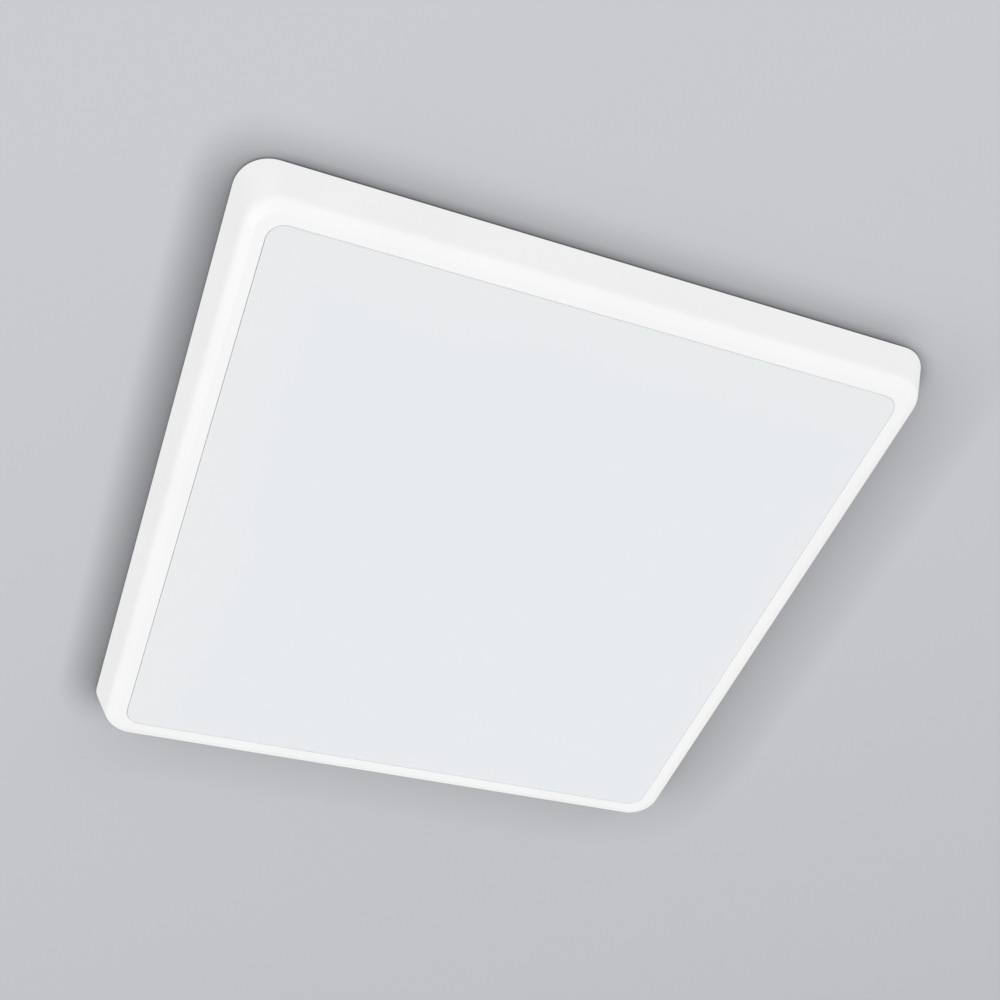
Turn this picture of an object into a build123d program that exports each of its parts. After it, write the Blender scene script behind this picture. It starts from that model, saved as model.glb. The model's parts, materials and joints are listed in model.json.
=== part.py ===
from build123d import *
import math
import os

# A slim square flush mount ceiling light with an edge lit diffuser, in millimetres.
#
# +Z points up, z = 0 is the ceiling, and the light hangs below it, so every solid has z <= 0.
# The origin is the centre of the steel bracket that is screwed to the ceiling.
# A white moulded frame holds, from the room upwards: the opal diffuser, a clear light guide lit
# from its four edges by rows of light emitting diodes, a white reflector film, foam pads and a
# pressed steel back plate. The hollow between plate and ceiling holds the driver, the terminal box
# and the bracket. Two omega shaped spring clips on the bracket grip two catches on the plate, so
# the whole light pulls straight down off its bracket.

# ---------------------------------------------------------------- front frame
side_length = 420.0  # rim to rim at the ceiling
frame_depth = 27.5  # rim to front face
rim_corner_radius = 20.0
front_corner_radius = 18.5
wall_draft = 18.2  # lean of the side wall, degrees
front_edge_radius = 10.0
skin = 2.4  # moulded wall, measured square to its face
inner_edge_radius = 7.0
lip_thickness = 1.8  # the land that shows round the diffuser
bezel_width = 21.0  # rim to diffuser opening, seen from the room
opening_corner_radius = 10.7
guide_wall = 1.5  # second wall behind the skin, which centres the back plate
guide_wall_inset = 8.0  # rim to that wall's inner face
guide_wall_drop = 2.0  # its top edge below the rim
rib_thickness = 1.2  # cross ribs between skin and second wall
ribs_per_side = 12
rib_end = 34.0  # rim to the first rib on a side
hook_length = 12.0  # snap hooks that hold the back plate's edge
hook_bite = 1.2  # how far a hook reaches over the plate
hook_tip = 0.7
hook_rise = 3.4
hook_spacing = 110.0
hooks_per_side = 3
boss_radius = 2.6  # corner bosses for the back plate's screws
boss_corner_inset = 5.0  # boss axis from the cavity's corner, along the diagonal; clear inside the nose
pilot_radius = 1.0
pilot_floor = 1.0  # plastic left under the pilot hole

# ---------------------------------------------------------------- ceiling gasket
gasket_stand = 1.0  # how far the foam holds the rim off the ceiling
gasket_width = 2.3
gasket_depth = 4.0
gasket_clearance = 0.2

# ---------------------------------------------------------------- optics, from the room upwards
diffuser_recess = 0.2  # face below the land
diffuser_gap = 0.5  # seam all round
diffuser_sheet = 1.5
diffuser_flange_width = 4.4  # the rim that lies behind the lip
diffuser_flange_radius = 12.0
guide_thickness = 3.0
guide_cover = 6.0  # light guide past the opening on each side
guide_corner_radius = 22.0
film_thickness = 0.4
film_inset = 3.0  # film edge inside the guide's edge
pad_thickness = 1.05
pad_length = 60.0
pad_width = 16.0
pads_per_side = 3
pad_pitch = 100.0
pad_inset = 42.6  # back plate's edge to the middle of a row of pads

# ---------------------------------------------------------------- edge lighting
strip_end = 25.0  # light guide's edge to a strip's end
board_thickness = 1.2
board_height = 3.0
chip_length = 3.0
chip_height = 1.4
chip_depth = 0.8
chip_pitch = 7.0
chip_end = 9.0  # strip's end to its first chip
chip_gap = 0.5  # chip face to light guide edge
carrier_sheet = 0.8  # aluminium angle behind each board
carrier_width = 6.0
carrier_drop = 3.8
jumper_radius = 0.6
jumper_straight = 2.9  # run before a jumper's bend
jumper_spacing = 1.5  # centre to centre of the two wires, one above the other

# ---------------------------------------------------------------- back plate
plate_sheet = 0.8
plate_clearance = 0.35  # plate edge to frame
plateau_margin = 12.0  # the raised middle that carries the gear, past the gear
plateau_height = 1.5
plateau_corner_radius = 14.0
plateau_slope = 3.0  # width of its sloping border
bead_end = 75.6  # plate's edge to the end of a stiffening bead
bead_width = 10.0
bead_height = 2.0
bead_corner = 4.9  # round ends
bead_slope = 2.5
bead_inset = 22.0  # plate edge to bead centre
plate_screw_head_radius = 2.2
plate_screw_head_height = 1.6
plate_hole_play = 0.3
screw_play = 0.05  # core of a screw inside its pilot hole
plate_screw_length = 5.0

# ---------------------------------------------------------------- ceiling bracket
bracket_sheet = 1.2
bracket_length = 240.0
bracket_width = 60.0
bracket_flange = 5.0  # folded edge below the web
bracket_flange_length = 200.0
bracket_bend_radius = 2.0
screw_spacing = 120.0  # ceiling screws, centre to centre
slot_length = 20.0
slot_width = 5.5
dish_depth = 3.0  # pressed hollow round the cable entry
dish_floor_radius = 12.0
dish_slope = 3.0
cable_hole_radius = 7.0
grommet_bore_radius = 4.5
grommet_flange_radius = 10.0
grommet_flange = 2.0
leg_width = 18.0
leg_length = 9.0  # ceiling to leg's end

# ---------------------------------------------------------------- spring clips and catches
clip_sheet = 0.5
clip_width = 14.0
clip_top = 4.0  # ceiling to the clip's upper edge
clip_neck = 8.0  # ceiling to where the clip starts to swell
clip_belly = 12.4  # ceiling to its widest point
clip_tip = 16.8
clip_tip_half = 1.2
clip_bend_radius = 1.0
clip_play = 0.15  # clip to catch, drawn pressed in
rivet_radius = 1.0
rivet_head_radius = 1.8
rivet_head_height = 0.8
rivet_spacing = 8.0
rivet_drop = 6.0  # ceiling to the clip rivets
catch_sheet = 1.0
catch_gap = 9.0
catch_length = 24.0
catch_height = 10.0
catch_flare = 1.5
catch_rivet_spacing = 19.0
catch_rivet_head = 0.7

# ---------------------------------------------------------------- driver
driver_length = 130.0
driver_width = 44.0
driver_height = 13.0
driver_wall = 1.6
driver_corner_radius = 3.0
driver_lid = 1.5
driver_gap = 26.0  # bracket to driver, seen from above
driver_ear_length = 9.0
driver_ear_width = 12.0
driver_ear_thickness = 2.0
gear_screw_radius = 1.5  # screws that hold driver and terminal box
gear_screw_head_radius = 2.8
gear_screw_head_height = 1.6
gear_screw_reach = 1.9  # point below the plateau's upper face
vent_count = 9
vent_pitch = 5.0
vent_width = 1.6
vent_length = 18.0
driver_board_sheet = 1.6
driver_board_lift = 1.6  # stand-off under the board
driver_board_play = 0.3
transformer_size = (18.0, 16.0, 7.6)
transformer_x = 4.0
bobbin_flange = 1.4
capacitor_radius = 3.6
capacitor_length = 13.0
capacitor_xs = (-40.0, 36.0)
choke_radius = 4.2
choke_height = 6.4
choke_x = -24.0
choke_waist = 0.8  # wire radius over the drum's
capacitor_crimp = 0.4
standoff_radius = 1.8
standoff_inset = 6.0

# ---------------------------------------------------------------- terminal box
box_length = 84.0
box_width = 44.0
box_wall = 1.6
box_height = 13.4
box_corner_radius = 3.0
box_gap = 18.0  # bracket to terminal box, seen from above
box_ear_length = 9.0
box_ear_width = 12.0
box_ear_thickness = 2.0
lid_sheet = 1.5
lid_seat_gap = 0.1
lid_tongue_width = 14.0
lid_tongue_length = 6.0
lid_tongue_gap = 0.3
hinge_outset = 2.6  # hinge axis behind the box's rear wall
hinge_pin_radius = 1.2
hinge_play = 0.05
hinge_barrel_radius = 1.9
hinge_barrel_length = 39.0
hinge_ear_radius = 2.5
hinge_ear_thickness = 3.0
hinge_side_play = 0.3
hinge_relief = 0.6  # lid's full width starts this far outside the ears

# ---------------------------------------------------------------- terminal block and its buttons
block_x = -6.0  # its centre
block_length = 20.0
block_width = 30.0
block_height = 10.2
pole_pitch = 9.0
pole_count = 3
wire_bore_radius = 1.4
wire_bore_rise = 3.6  # bore axis above the block's foot
lead_bore_play = 0.05
button_length = 5.0
button_width = 3.8
button_stand = 1.3  # proud of the block
button_play = 0.12
button_travel = 1.0
pocket_x = 3.4  # pocket centre from the block's centre
contact_sheet = 0.4  # bent spring contact in each pole
contact_width = 2.6
contact_play = 0.08
contact_web = 0.5  # plastic between the bores and the contact's foot and leaf
contact_back = 1.5  # its upright's rear face behind the block's centre
contact_foot = 7.0
pole_groove = 0.9  # groove between the poles

# ---------------------------------------------------------------- mains cable clamp
cable_radius = 3.6
cable_rise = 4.4  # cable axis above the box floor
saddle_length = 27.0
saddle_width = 6.0
saddle_split = 0.4  # each half stops this far from the cable axis
saddle_roof = 1.4
saddle_wall_gap = 2.0  # saddle from the box's front wall
saddle_end_gap = 1.9  # and from its +X end wall
notch_play = 0.6
clamp_screw_radius = 1.2
clamp_screw_spacing = 18.0
clamp_screw_head_radius = 2.2
clamp_screw_head_height = 1.3

# ---------------------------------------------------------------- leads
lead_radius = 1.0
lead_gap = 0.1  # lead above what it lies on
lead_pitch = 2.3  # side by side
lead_notch_x = -31.0
lead_notch_play = 0.3
lead_inside = 3.0  # how far a lead reaches into the driver
lead_bend_room = 6.0  # lead past the driver's ear where it turns in
lead_board_gap = 1.0  # lead above the driver's board
earth_from_box = 16.0  # earth screw past the box's end
earth_from_bracket = 8.0  # and past the bracket's edge
earth_screw_radius = 2.0
earth_head_radius = 3.6
earth_head_height = 2.2
earth_tag_sheet = 0.8
earth_tag_radius = 4.2
earth_tag_reach = 10.2  # screw to the far end of the tag's barrel
earth_barrel_length = 5.0
earth_barrel_wall = 0.5
feed_radius = 0.6
feed_spacing = 1.5
feed_hole_radius = 2.2
feed_grommet_bore = 1.45
feed_grommet_radius = 2.9
feed_grommet_flange = 0.6
feed_from_strip = 8.0  # feed hole past the strip's end
feed_bend_radius = 1.5

# ---------------------------------------------------------------- worked out from the above
draft_slope = math.tan(math.radians(wall_draft))
skin_plan = skin / math.cos(math.radians(wall_draft))
rim_half = side_length / 2
rim_z = -gasket_stand
front_z = rim_z - frame_depth
front_half = rim_half - frame_depth * draft_slope
opening_half = rim_half - bezel_width
rib_span = side_length - 2 * rib_end
seat_z = front_z + lip_thickness
diffuser_top_z = seat_z + diffuser_sheet
guide_top_z = diffuser_top_z + guide_thickness
film_top_z = guide_top_z + film_thickness
plate_low_z = film_top_z + pad_thickness
plate_top_z = plate_low_z + plate_sheet
plateau_z = plate_top_z + plateau_height
guide_half = opening_half + guide_cover
chip_face = guide_half + chip_gap
board_face = chip_face + chip_depth
board_x = board_face + board_thickness / 2
carrier_face = board_face + board_thickness
carrier_back = carrier_face + carrier_sheet
carrier_low_z = plate_low_z - carrier_drop
strip_z = (diffuser_top_z + guide_top_z) / 2
strip_length = 2 * (guide_half - strip_end)
chips_per_strip = int((strip_length - 2 * chip_end) / chip_pitch) + 1
clip_x = bracket_length / 2 - bracket_sheet / 2
driver_y = -(bracket_width / 2 + driver_gap + driver_width / 2)
driver_front_y = driver_y + driver_width / 2
box_y = bracket_width / 2 + box_gap + box_width / 2
box_front_y = box_y - box_width / 2
plateau_half_x = clip_x + catch_gap / 2 + catch_flare + catch_sheet + plateau_margin
plateau_half_y = driver_width / 2 - driver_y + plateau_margin
earth_x = -(box_length / 2 + earth_from_box)
earth_y = bracket_width / 2 + earth_from_bracket
guide_wall_face = rim_half - guide_wall_inset
box_floor_z = plateau_z + box_wall
box_top_z = plateau_z + box_height
cable_axis_z = box_floor_z + cable_rise
clamp_x = box_length / 2 - box_wall - saddle_end_gap - saddle_length / 2
clamp_y = box_front_y + box_wall + saddle_wall_gap + saddle_width / 2
lid_low_z = box_top_z + lid_seat_gap
hinge_y = box_y + box_width / 2 + hinge_outset
hinge_z = lid_low_z + lid_sheet / 2
block_top_z = box_floor_z + block_height
wire_axis_z = box_floor_z + wire_bore_rise
driver_floor_z = plateau_z + driver_wall
driver_top_z = plateau_z + driver_height
driver_board_z = driver_floor_z + driver_board_lift + driver_board_sheet
lead_z = plateau_z + lead_gap + lead_radius
driver_lead_z = driver_board_z + lead_board_gap + lead_radius
contact_low_z = wire_axis_z - wire_bore_radius - contact_web - contact_sheet
pocket_floor_z = wire_axis_z + wire_bore_radius + contact_web
wire_bore_depth = block_length / 2 + contact_back - contact_sheet
lead_bore_depth = block_length / 2 - contact_back
button_low_z = pocket_floor_z + contact_sheet + button_travel + button_play


def outer_half(z):
    """Half the frame's outside width at height z, on the line of its leaning side wall."""
    return front_half + (z - front_z) * draft_slope


def outer_corner(z):
    """Corner radius of the frame's outside at height z."""
    share = (z - front_z) / frame_depth
    return front_corner_radius + share * (rim_corner_radius - front_corner_radius)


def inner_half(z):
    """Half the frame's inside width at height z."""
    return outer_half(z) - skin_plan


def rounded_square(half, radius, z=0.0):
    """A square face with rounded corners, level, at height z."""
    return Pos(0, 0, z) * RectangleRounded(2 * half, 2 * half, radius)


def square_slab(half, radius, z_low, z_high):
    """A flat square slab with rounded corners."""
    return extrude(rounded_square(half, radius, z_low), z_high - z_low)


def rounded_slab(length, width, radius, x, y, z_low, z_high):
    """A flat rectangular slab with rounded corners, centred on x, y."""
    outline = Pos(x, y, z_low) * RectangleRounded(length, width, radius)
    return extrude(outline, z_high - z_low)


def slab(length, width, x, y, z_low, z_high):
    """A plain block between two heights, centred on x, y."""
    return Pos(x, y, (z_low + z_high) / 2) * Box(length, width, z_high - z_low)


def rod(radius, x, y, z_low, z_high):
    """An upright cylinder between two heights."""
    return Pos(x, y, (z_low + z_high) / 2) * Cylinder(radius, z_high - z_low)


def turned(points):
    """A solid turned about the Z axis from a closed outline of (radius, z) points."""
    outline = Plane.XZ * make_face(Polyline(*points, close=True))
    return revolve(outline, Axis.Z)


def four_sides(solid):
    """The solid and its three copies, a quarter turn apart about Z."""
    return [Rot(0, 0, 90 * turn) * solid for turn in range(4)]


def spread(count, span):
    """Evenly spaced places from -span/2 to span/2."""
    return [span * (index / (count - 1) - 0.5) for index in range(count)]


def wire_path(points, radii):
    """A run of straight lines joined by tangent arcs, one radius for each corner."""
    return FilletPolyline(*points, radius=radii)


def tube(path, radius):
    """A round wire along a path."""
    start = Plane(origin=path @ 0, z_dir=path % 0)
    return sweep(start * Circle(radius), path)


def lead(name, points, bends, radius):
    """An insulated lead along its route. Prints its bends, and its volume beside section times length."""
    path = wire_path(points, bends)
    wire = tube(path, radius)
    expected = math.pi * radius**2 * path.length
    print(f"{name}: bend radii {[round(bend, 1) for bend in bends]} mm, length {path.length:.1f} mm,", end=" ")
    print(f"volume {wire.volume:.1f} mm3, section times length {expected:.1f} mm3")
    return wire


# ---------------------------------------------------------------- frame
def tapered_block(half_low, radius_low, z_low, half_high, radius_high, z_high):
    """A block with leaning sides and rounded corners, open to any taper."""
    ends = [rounded_square(half_low, radius_low, z_low), rounded_square(half_high, radius_high, z_high)]
    return loft(ends, ruled=True)


def frame_shell():
    """The leaning, round nosed skin of the frame with its lip and opening."""
    block = tapered_block(front_half, front_corner_radius, front_z, rim_half, rim_corner_radius, rim_z)
    block = fillet(block.edges().group_by(Axis.Z)[0], front_edge_radius)
    seat_corner = outer_corner(seat_z) - skin_plan
    cavity = tapered_block(
        inner_half(seat_z), seat_corner, seat_z, inner_half(rim_z), rim_corner_radius - skin_plan, rim_z
    )
    cavity = fillet(cavity.edges().group_by(Axis.Z)[0], inner_edge_radius)
    opening = square_slab(opening_half, opening_corner_radius, front_z, seat_z)
    return block - cavity - opening


def boss_centre():
    """x and y of a corner boss, on the diagonal just inside the cavity's corner."""
    half = inner_half(plate_low_z)
    radius = outer_corner(plate_low_z) - skin_plan
    corner = (half - radius) * math.sqrt(2) + radius
    return (corner - boss_corner_inset) / math.sqrt(2)


def cavity_core(z_low, z_high):
    """The space inside the skin between two heights, used to trim ribs and bosses to the skin."""
    grow = skin_plan / 2
    return tapered_block(
        inner_half(z_low) + grow,
        outer_corner(z_low) - grow,
        z_low,
        inner_half(z_high) + grow,
        outer_corner(z_high) - grow,
        z_high,
    )


def front_frame():
    """The white moulded frame: skin, lip, second wall, cross ribs, snap hooks and corner bosses."""
    frame = frame_shell()
    wall_top = rim_z - guide_wall_drop
    wall_low = plate_top_z + hook_rise
    shelf_z = -gasket_depth
    wall_corner = rim_corner_radius - guide_wall_inset
    ring = square_slab(guide_wall_face + guide_wall, wall_corner + guide_wall, wall_low, wall_top)
    ring -= square_slab(guide_wall_face, wall_corner, wall_low, wall_top)
    ribs = []
    rib_reach = rim_half - guide_wall_face
    for place in spread(ribs_per_side, rib_span):
        rib = slab(rib_reach, rib_thickness, guide_wall_face + rib_reach / 2, place, wall_low, shelf_z)
        ribs += four_sides(rib)
    inside = cavity_core(wall_low, rim_z)
    frame += (ring & inside)
    frame += [rib & inside for rib in ribs]
    frame += snap_hooks()
    centre = boss_centre()
    post = rod(boss_radius, centre, centre, seat_z, plate_low_z)
    post &= cavity_core(seat_z, plate_low_z)
    pilot = rod(pilot_radius, centre, centre, seat_z + pilot_floor, plate_low_z)
    frame += four_sides(post)
    for hole in four_sides(pilot):
        frame -= hole
    return frame


def snap_hooks():
    """Wedge hooks on the frame's inside that snap over the edge of the back plate."""
    low = plate_top_z + lid_seat_gap
    tip = plate_half() - hook_bite
    root_low = inner_half(low) + skin_plan / 2
    root_high = inner_half(low + hook_rise) + skin_plan / 2
    outline = Polyline(
        (root_low, low), (tip, low), (tip, low + hook_tip), (root_high, low + hook_rise), close=True
    )
    hook = extrude(Plane.XZ * make_face(outline), hook_length / 2, both=True)
    hooks = []
    for place in spread(hooks_per_side, hook_spacing * (hooks_per_side - 1)):
        hooks += four_sides(Pos(0, place, 0) * hook)
    return hooks


def gasket():
    """The closed cell foam strip in the channel between the frame's two walls."""
    inner = guide_wall_face + guide_wall + gasket_clearance
    corner = rim_corner_radius - guide_wall_inset + guide_wall + gasket_clearance
    ring = square_slab(inner + gasket_width, corner + gasket_width, -gasket_depth, 0)
    return ring - square_slab(inner, corner, -gasket_depth, 0)


# ---------------------------------------------------------------- optics
def diffuser():
    """The opal sheet: a pan whose face fills the opening and whose flange lies behind the lip."""
    face_z = front_z + diffuser_recess
    face_half = opening_half - diffuser_gap
    face_corner = opening_corner_radius - diffuser_gap
    flange = square_slab(
        opening_half + diffuser_flange_width, diffuser_flange_radius, seat_z, diffuser_top_z
    )
    boss = square_slab(face_half, face_corner, face_z, diffuser_top_z)
    hollow_half = face_half - diffuser_sheet
    hollow_corner = face_corner - diffuser_sheet
    hollow = square_slab(hollow_half, hollow_corner, face_z + diffuser_sheet, diffuser_top_z)
    return flange + boss - hollow


def light_guide():
    """The clear acrylic plate that spreads the light from its edges."""
    return square_slab(guide_half, guide_corner_radius, diffuser_top_z, guide_top_z)


def reflector_film():
    """The white film behind the light guide."""
    corner = guide_corner_radius - film_inset
    return square_slab(guide_half - film_inset, corner, guide_top_z, film_top_z)


def pressure_pads():
    """Foam pads that press the optical stack forwards, off the back plate."""
    pads = []
    for place in spread(pads_per_side, pad_pitch * (pads_per_side - 1)):
        row_x = plate_half() - pad_inset
        pads += four_sides(slab(pad_width, pad_length, row_x, place, film_top_z, plate_low_z))
    return pads


def led_board():
    """The narrow circuit board of one edge, on the +X side."""
    return Pos(board_x, 0, strip_z) * Box(board_thickness, strip_length, board_height)


def led_chips():
    """The row of light emitting diodes on one board, on the +X side."""
    chip = Box(chip_depth, chip_length, chip_height)
    places = spread(chips_per_strip, chip_pitch * (chips_per_strip - 1))
    return [Pos(chip_face + chip_depth / 2, y, strip_z) * chip for y in places]


def strip_carrier():
    """The aluminium angle that holds one board against the light guide, on the +X side."""
    upright = Pos(carrier_face + carrier_sheet / 2, 0, (carrier_low_z + plate_low_z) / 2) * Box(
        carrier_sheet, strip_length, carrier_drop
    )
    top_x = carrier_back - carrier_width / 2
    return upright + slab(carrier_width, strip_length, top_x, 0, plate_low_z - carrier_sheet, plate_low_z)


def corner_jumper():
    """Two short wires, one above the other, from one strip's end round the corner to the next."""
    end = strip_length / 2
    bend = board_x - end - jumper_straight
    wires = []
    for lift in (-jumper_spacing / 2, jumper_spacing / 2):
        z = strip_z + lift
        route = [(board_x, end, z), (board_x, board_x, z), (end, board_x, z)]
        wires.append(lead("corner jumper", route, [bend], jumper_radius))
    return wires


# ---------------------------------------------------------------- back plate
def plate_half():
    """Half the back plate's width: the frame's inside less a clearance."""
    return inner_half(plate_low_z) - plate_clearance


def plate_corner():
    """Corner radius of the back plate."""
    return outer_corner(plate_low_z) - skin_plan - plate_clearance


def pressed_field(length, width, corner, slope, height, x, y):
    """A raised field pressed up out of sheet metal, and the hollow that it leaves underneath."""
    fields = []
    for low in (plate_top_z, plate_low_z):
        foot = Pos(x, y, low) * RectangleRounded(length, width, corner)
        outline = RectangleRounded(length - 2 * slope, width - 2 * slope, corner - slope)
        fields.append(loft([foot, Pos(x, y, low + height) * outline], ruled=True))
    return fields


def back_plate():
    """The pressed steel sheet that closes the optical stack and carries the gear."""
    plate = square_slab(plate_half(), plate_corner(), plate_low_z, plate_top_z)
    raised, hollow = pressed_field(
        2 * plateau_half_x, 2 * plateau_half_y, plateau_corner_radius, plateau_slope, plateau_height, 0, 0
    )
    plate = plate + raised - hollow
    bead_x = plate_half() - bead_inset
    bead_length = 2 * (plate_half() - bead_end)
    raised, hollow = pressed_field(bead_width, bead_length, bead_corner, bead_slope, bead_height, bead_x, 0)
    plate = plate + four_sides(raised)
    for underside in four_sides(hollow):
        plate -= underside
    centre = boss_centre()
    for hole in four_sides(rod(pilot_radius + plate_hole_play, centre, centre, plate_low_z, plate_top_z)):
        plate -= hole
    for x, y in gear_screw_places():
        plate -= rod(gear_screw_radius, x, y, plateau_z - plate_sheet, plateau_z)
    for x, y in catch_rivet_places():
        plate -= rod(rivet_radius, x, y, plateau_z - plate_sheet, plateau_z)
    plate -= rod(earth_screw_radius, earth_x, earth_y, plateau_z - plate_sheet, plateau_z)
    feed_x, feed_y = feed_place()
    plate -= rod(feed_hole_radius, feed_x, feed_y, plate_low_z, plate_top_z)
    return plate


def plate_screws():
    """Four pan head screws through the back plate into the frame's corner bosses."""
    centre = boss_centre()
    head = pan_head(plate_screw_head_radius, plate_screw_head_height, centre, centre, plate_top_z)
    shank = rod(pilot_radius - screw_play, centre, centre, plate_top_z - plate_screw_length, plate_top_z)
    return four_sides(head + shank)


def pan_head(radius, height, x, y, z):
    """A pan head with a cross recess, standing on height z."""
    top = z + height
    head = rod(radius, x, y, z, top)
    head = chamfer(head.edges().group_by(Axis.Z)[-1], height / 3)
    for length, width in ((radius, radius / 4), (radius / 4, radius)):
        head -= slab(length, width, x, y, top - height / 2, top)
    return head


# ---------------------------------------------------------------- ceiling bracket
def mounting_bracket():
    """The galvanised channel on the ceiling, with its slots, cable dish and two folded legs."""
    section = Rectangle(bracket_width, bracket_sheet + bracket_flange, align=(Align.CENTER, Align.MAX))
    section = fillet(section.vertices().group_by(Axis.Y)[-1], bracket_bend_radius)
    hollow = Pos(0, -bracket_sheet) * Rectangle(
        bracket_width - 2 * bracket_sheet, bracket_flange, align=(Align.CENTER, Align.MAX)
    )
    hollow = fillet(hollow.vertices().group_by(Axis.Y)[-1], bracket_bend_radius - bracket_sheet)
    bracket = extrude(Plane.YZ * (section - hollow), bracket_length / 2, both=True)
    end_length = (bracket_length - bracket_flange_length) / 2
    for side in (-1, 1):
        x = side * (bracket_length - end_length) / 2
        low = -bracket_sheet - bracket_flange
        bracket -= slab(end_length, bracket_width, x, 0, low, -bracket_sheet)
        slot = Pos(side * screw_spacing / 2, 0, -bracket_sheet) * SlotOverall(slot_length, slot_width)
        bracket -= extrude(slot, bracket_sheet)
        bracket += bracket_leg(side)
    dish_radius = dish_floor_radius + dish_slope
    bracket -= rod(dish_radius, 0, 0, -bracket_sheet, 0)
    return bracket + cable_dish(dish_radius)


def bracket_leg(side):
    """The tongue folded down at one end of the bracket, which carries a spring clip."""
    end = bracket_length / 2
    outline = Polyline(
        (end - 3 * bracket_sheet, 0),
        (end, 0),
        (end, -leg_length),
        (end - bracket_sheet, -leg_length),
        (end - bracket_sheet, -bracket_sheet),
        (end - 3 * bracket_sheet, -bracket_sheet),
        close=True,
    )
    leg = extrude(Plane.XZ * make_face(outline), leg_width / 2, both=True)
    leg -= clip_rivet_holes()
    return leg if side > 0 else Rot(0, 0, 180) * leg


def cable_dish(dish_radius):
    """The pressed hollow that sets the cable grommet below the ceiling."""
    floor_z = -dish_depth
    return turned([
        (cable_hole_radius, floor_z),
        (dish_floor_radius, floor_z),
        (dish_radius, 0),
        (dish_radius + bracket_sheet, 0),
        (dish_radius + bracket_sheet, -bracket_sheet),
        (dish_radius + bracket_sheet / 2, -bracket_sheet),
        (dish_floor_radius + bracket_sheet / 2, floor_z - bracket_sheet),
        (cable_hole_radius, floor_z - bracket_sheet),
    ])


def bracket_grommet():
    """The rubber bush that lines the cable entry."""
    top = -dish_depth + grommet_flange
    low = -dish_depth - bracket_sheet - grommet_flange
    return turned([
        (grommet_bore_radius, low),
        (grommet_flange_radius, low),
        (grommet_flange_radius, -dish_depth - bracket_sheet),
        (cable_hole_radius, -dish_depth - bracket_sheet),
        (cable_hole_radius, -dish_depth),
        (grommet_flange_radius, -dish_depth),
        (grommet_flange_radius, top),
        (grommet_bore_radius, top),
    ])


def clip_rivet_holes():
    """The two holes through a leg and its clip, on the +X side."""
    reach = bracket_sheet + 2 * clip_sheet
    return [
        Pos(clip_x, y, -rivet_drop) * Rot(0, 90, 0) * Cylinder(rivet_radius, reach)
        for y in (-rivet_spacing / 2, rivet_spacing / 2)
    ]


def spring_clip():
    """An omega shaped clip of spring steel riveted to the +X leg, drawn as pressed into its catch."""
    neck = bracket_sheet / 2 + clip_sheet
    belly = catch_gap / 2 - clip_play
    outer = [(neck, -clip_top), (neck, -clip_neck), (belly, -clip_belly), (clip_tip_half, -clip_tip)]
    tip_inner = clip_tip_half - clip_sheet / 2
    inner = [
        (neck - clip_sheet, -clip_top),
        (neck - clip_sheet, -clip_neck - clip_sheet / 2),
        (belly - 1.4 * clip_sheet, -clip_belly),
        (tip_inner, -clip_tip + clip_sheet),
    ]
    faces = []
    for points in (outer, inner):
        mirrored = [(-x, z) for x, z in reversed(points)]
        face = make_face(Polyline(*points, *mirrored, close=True))
        bends = [v for v in face.vertices() if abs(v.Y + clip_belly) < clip_sheet]
        faces.append(fillet(bends, clip_bend_radius))
    ribbon = faces[0] - faces[1]
    clip = extrude(Plane.XZ * ribbon, clip_width / 2, both=True)
    clip = Pos(clip_x, 0, 0) * clip
    for hole in clip_rivet_holes():
        clip -= hole
    return clip


def clip_rivets():
    """Rivets through the +X leg and its clip."""
    stack = bracket_sheet + 2 * clip_sheet
    rivets = []
    for y in (-rivet_spacing / 2, rivet_spacing / 2):
        place = Pos(clip_x, y, -rivet_drop) * Rot(0, 90, 0)
        shank = Cylinder(rivet_radius, stack)
        head = Pos(0, 0, (stack + rivet_head_height) / 2) * Cylinder(rivet_head_radius, rivet_head_height)
        tail = Pos(0, 0, -(stack + rivet_head_height) / 2) * Cylinder(rivet_head_radius, rivet_head_height)
        rivets.append(place * (shank + head + tail))
    return rivets


def catch():
    """The pressed steel catch on the plateau that the +X clip snaps into."""
    half = catch_gap / 2
    low = plateau_z
    top = plateau_z + catch_height
    right = [
        (half, low + catch_sheet),
        (half, top - 2 * catch_flare),
        (half + catch_flare, top),
        (half + catch_flare + catch_sheet, top),
        (half + catch_sheet, top - 2 * catch_flare),
        (half + catch_sheet, low),
    ]
    left = [(-x, z) for x, z in reversed(right)]
    body = extrude(Plane.XZ * make_face(Polyline(*right, *left, close=True)), catch_length / 2, both=True)
    body = Pos(clip_x, 0, 0) * body
    for x, y in catch_rivet_places():
        body -= rod(rivet_radius, x, y, low, low + catch_sheet)
    return body


def catch_rivet_places():
    """x and y of the four rivets that hold the two catches."""
    return [(x, y) for x in (-clip_x, clip_x) for y in (-catch_rivet_spacing / 2, catch_rivet_spacing / 2)]


def catch_rivets():
    """Rivets through the catches and the plateau."""
    rivets = []
    for x, y in catch_rivet_places():
        top = plateau_z + catch_sheet
        low = plateau_z - plate_sheet
        rivet = rod(rivet_radius, x, y, low, top)
        rivet += rod(rivet_head_radius, x, y, top, top + catch_rivet_head)
        rivet += rod(rivet_head_radius, x, y, low - catch_rivet_head, low)
        rivets.append(rivet)
    return rivets


# ---------------------------------------------------------------- driver
def gear_ear(length, width, thickness, x, y, side):
    """A screw ear at one end of a gear case, with its hole."""
    ear = rounded_slab(2 * length, width, width / 3, x, y, plateau_z, plateau_z + thickness)
    hole_x = x + side * length / 2
    return ear - rod(gear_screw_radius, hole_x, y, plateau_z, plateau_z + thickness)


def driver_screw_xs():
    """x of the driver's two screws."""
    reach = driver_length / 2 + driver_ear_length / 2
    return (-reach, reach)


def box_screw_xs():
    """x of the terminal box's two screws."""
    reach = box_length / 2 + box_ear_length / 2
    return (-reach, reach)


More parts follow.
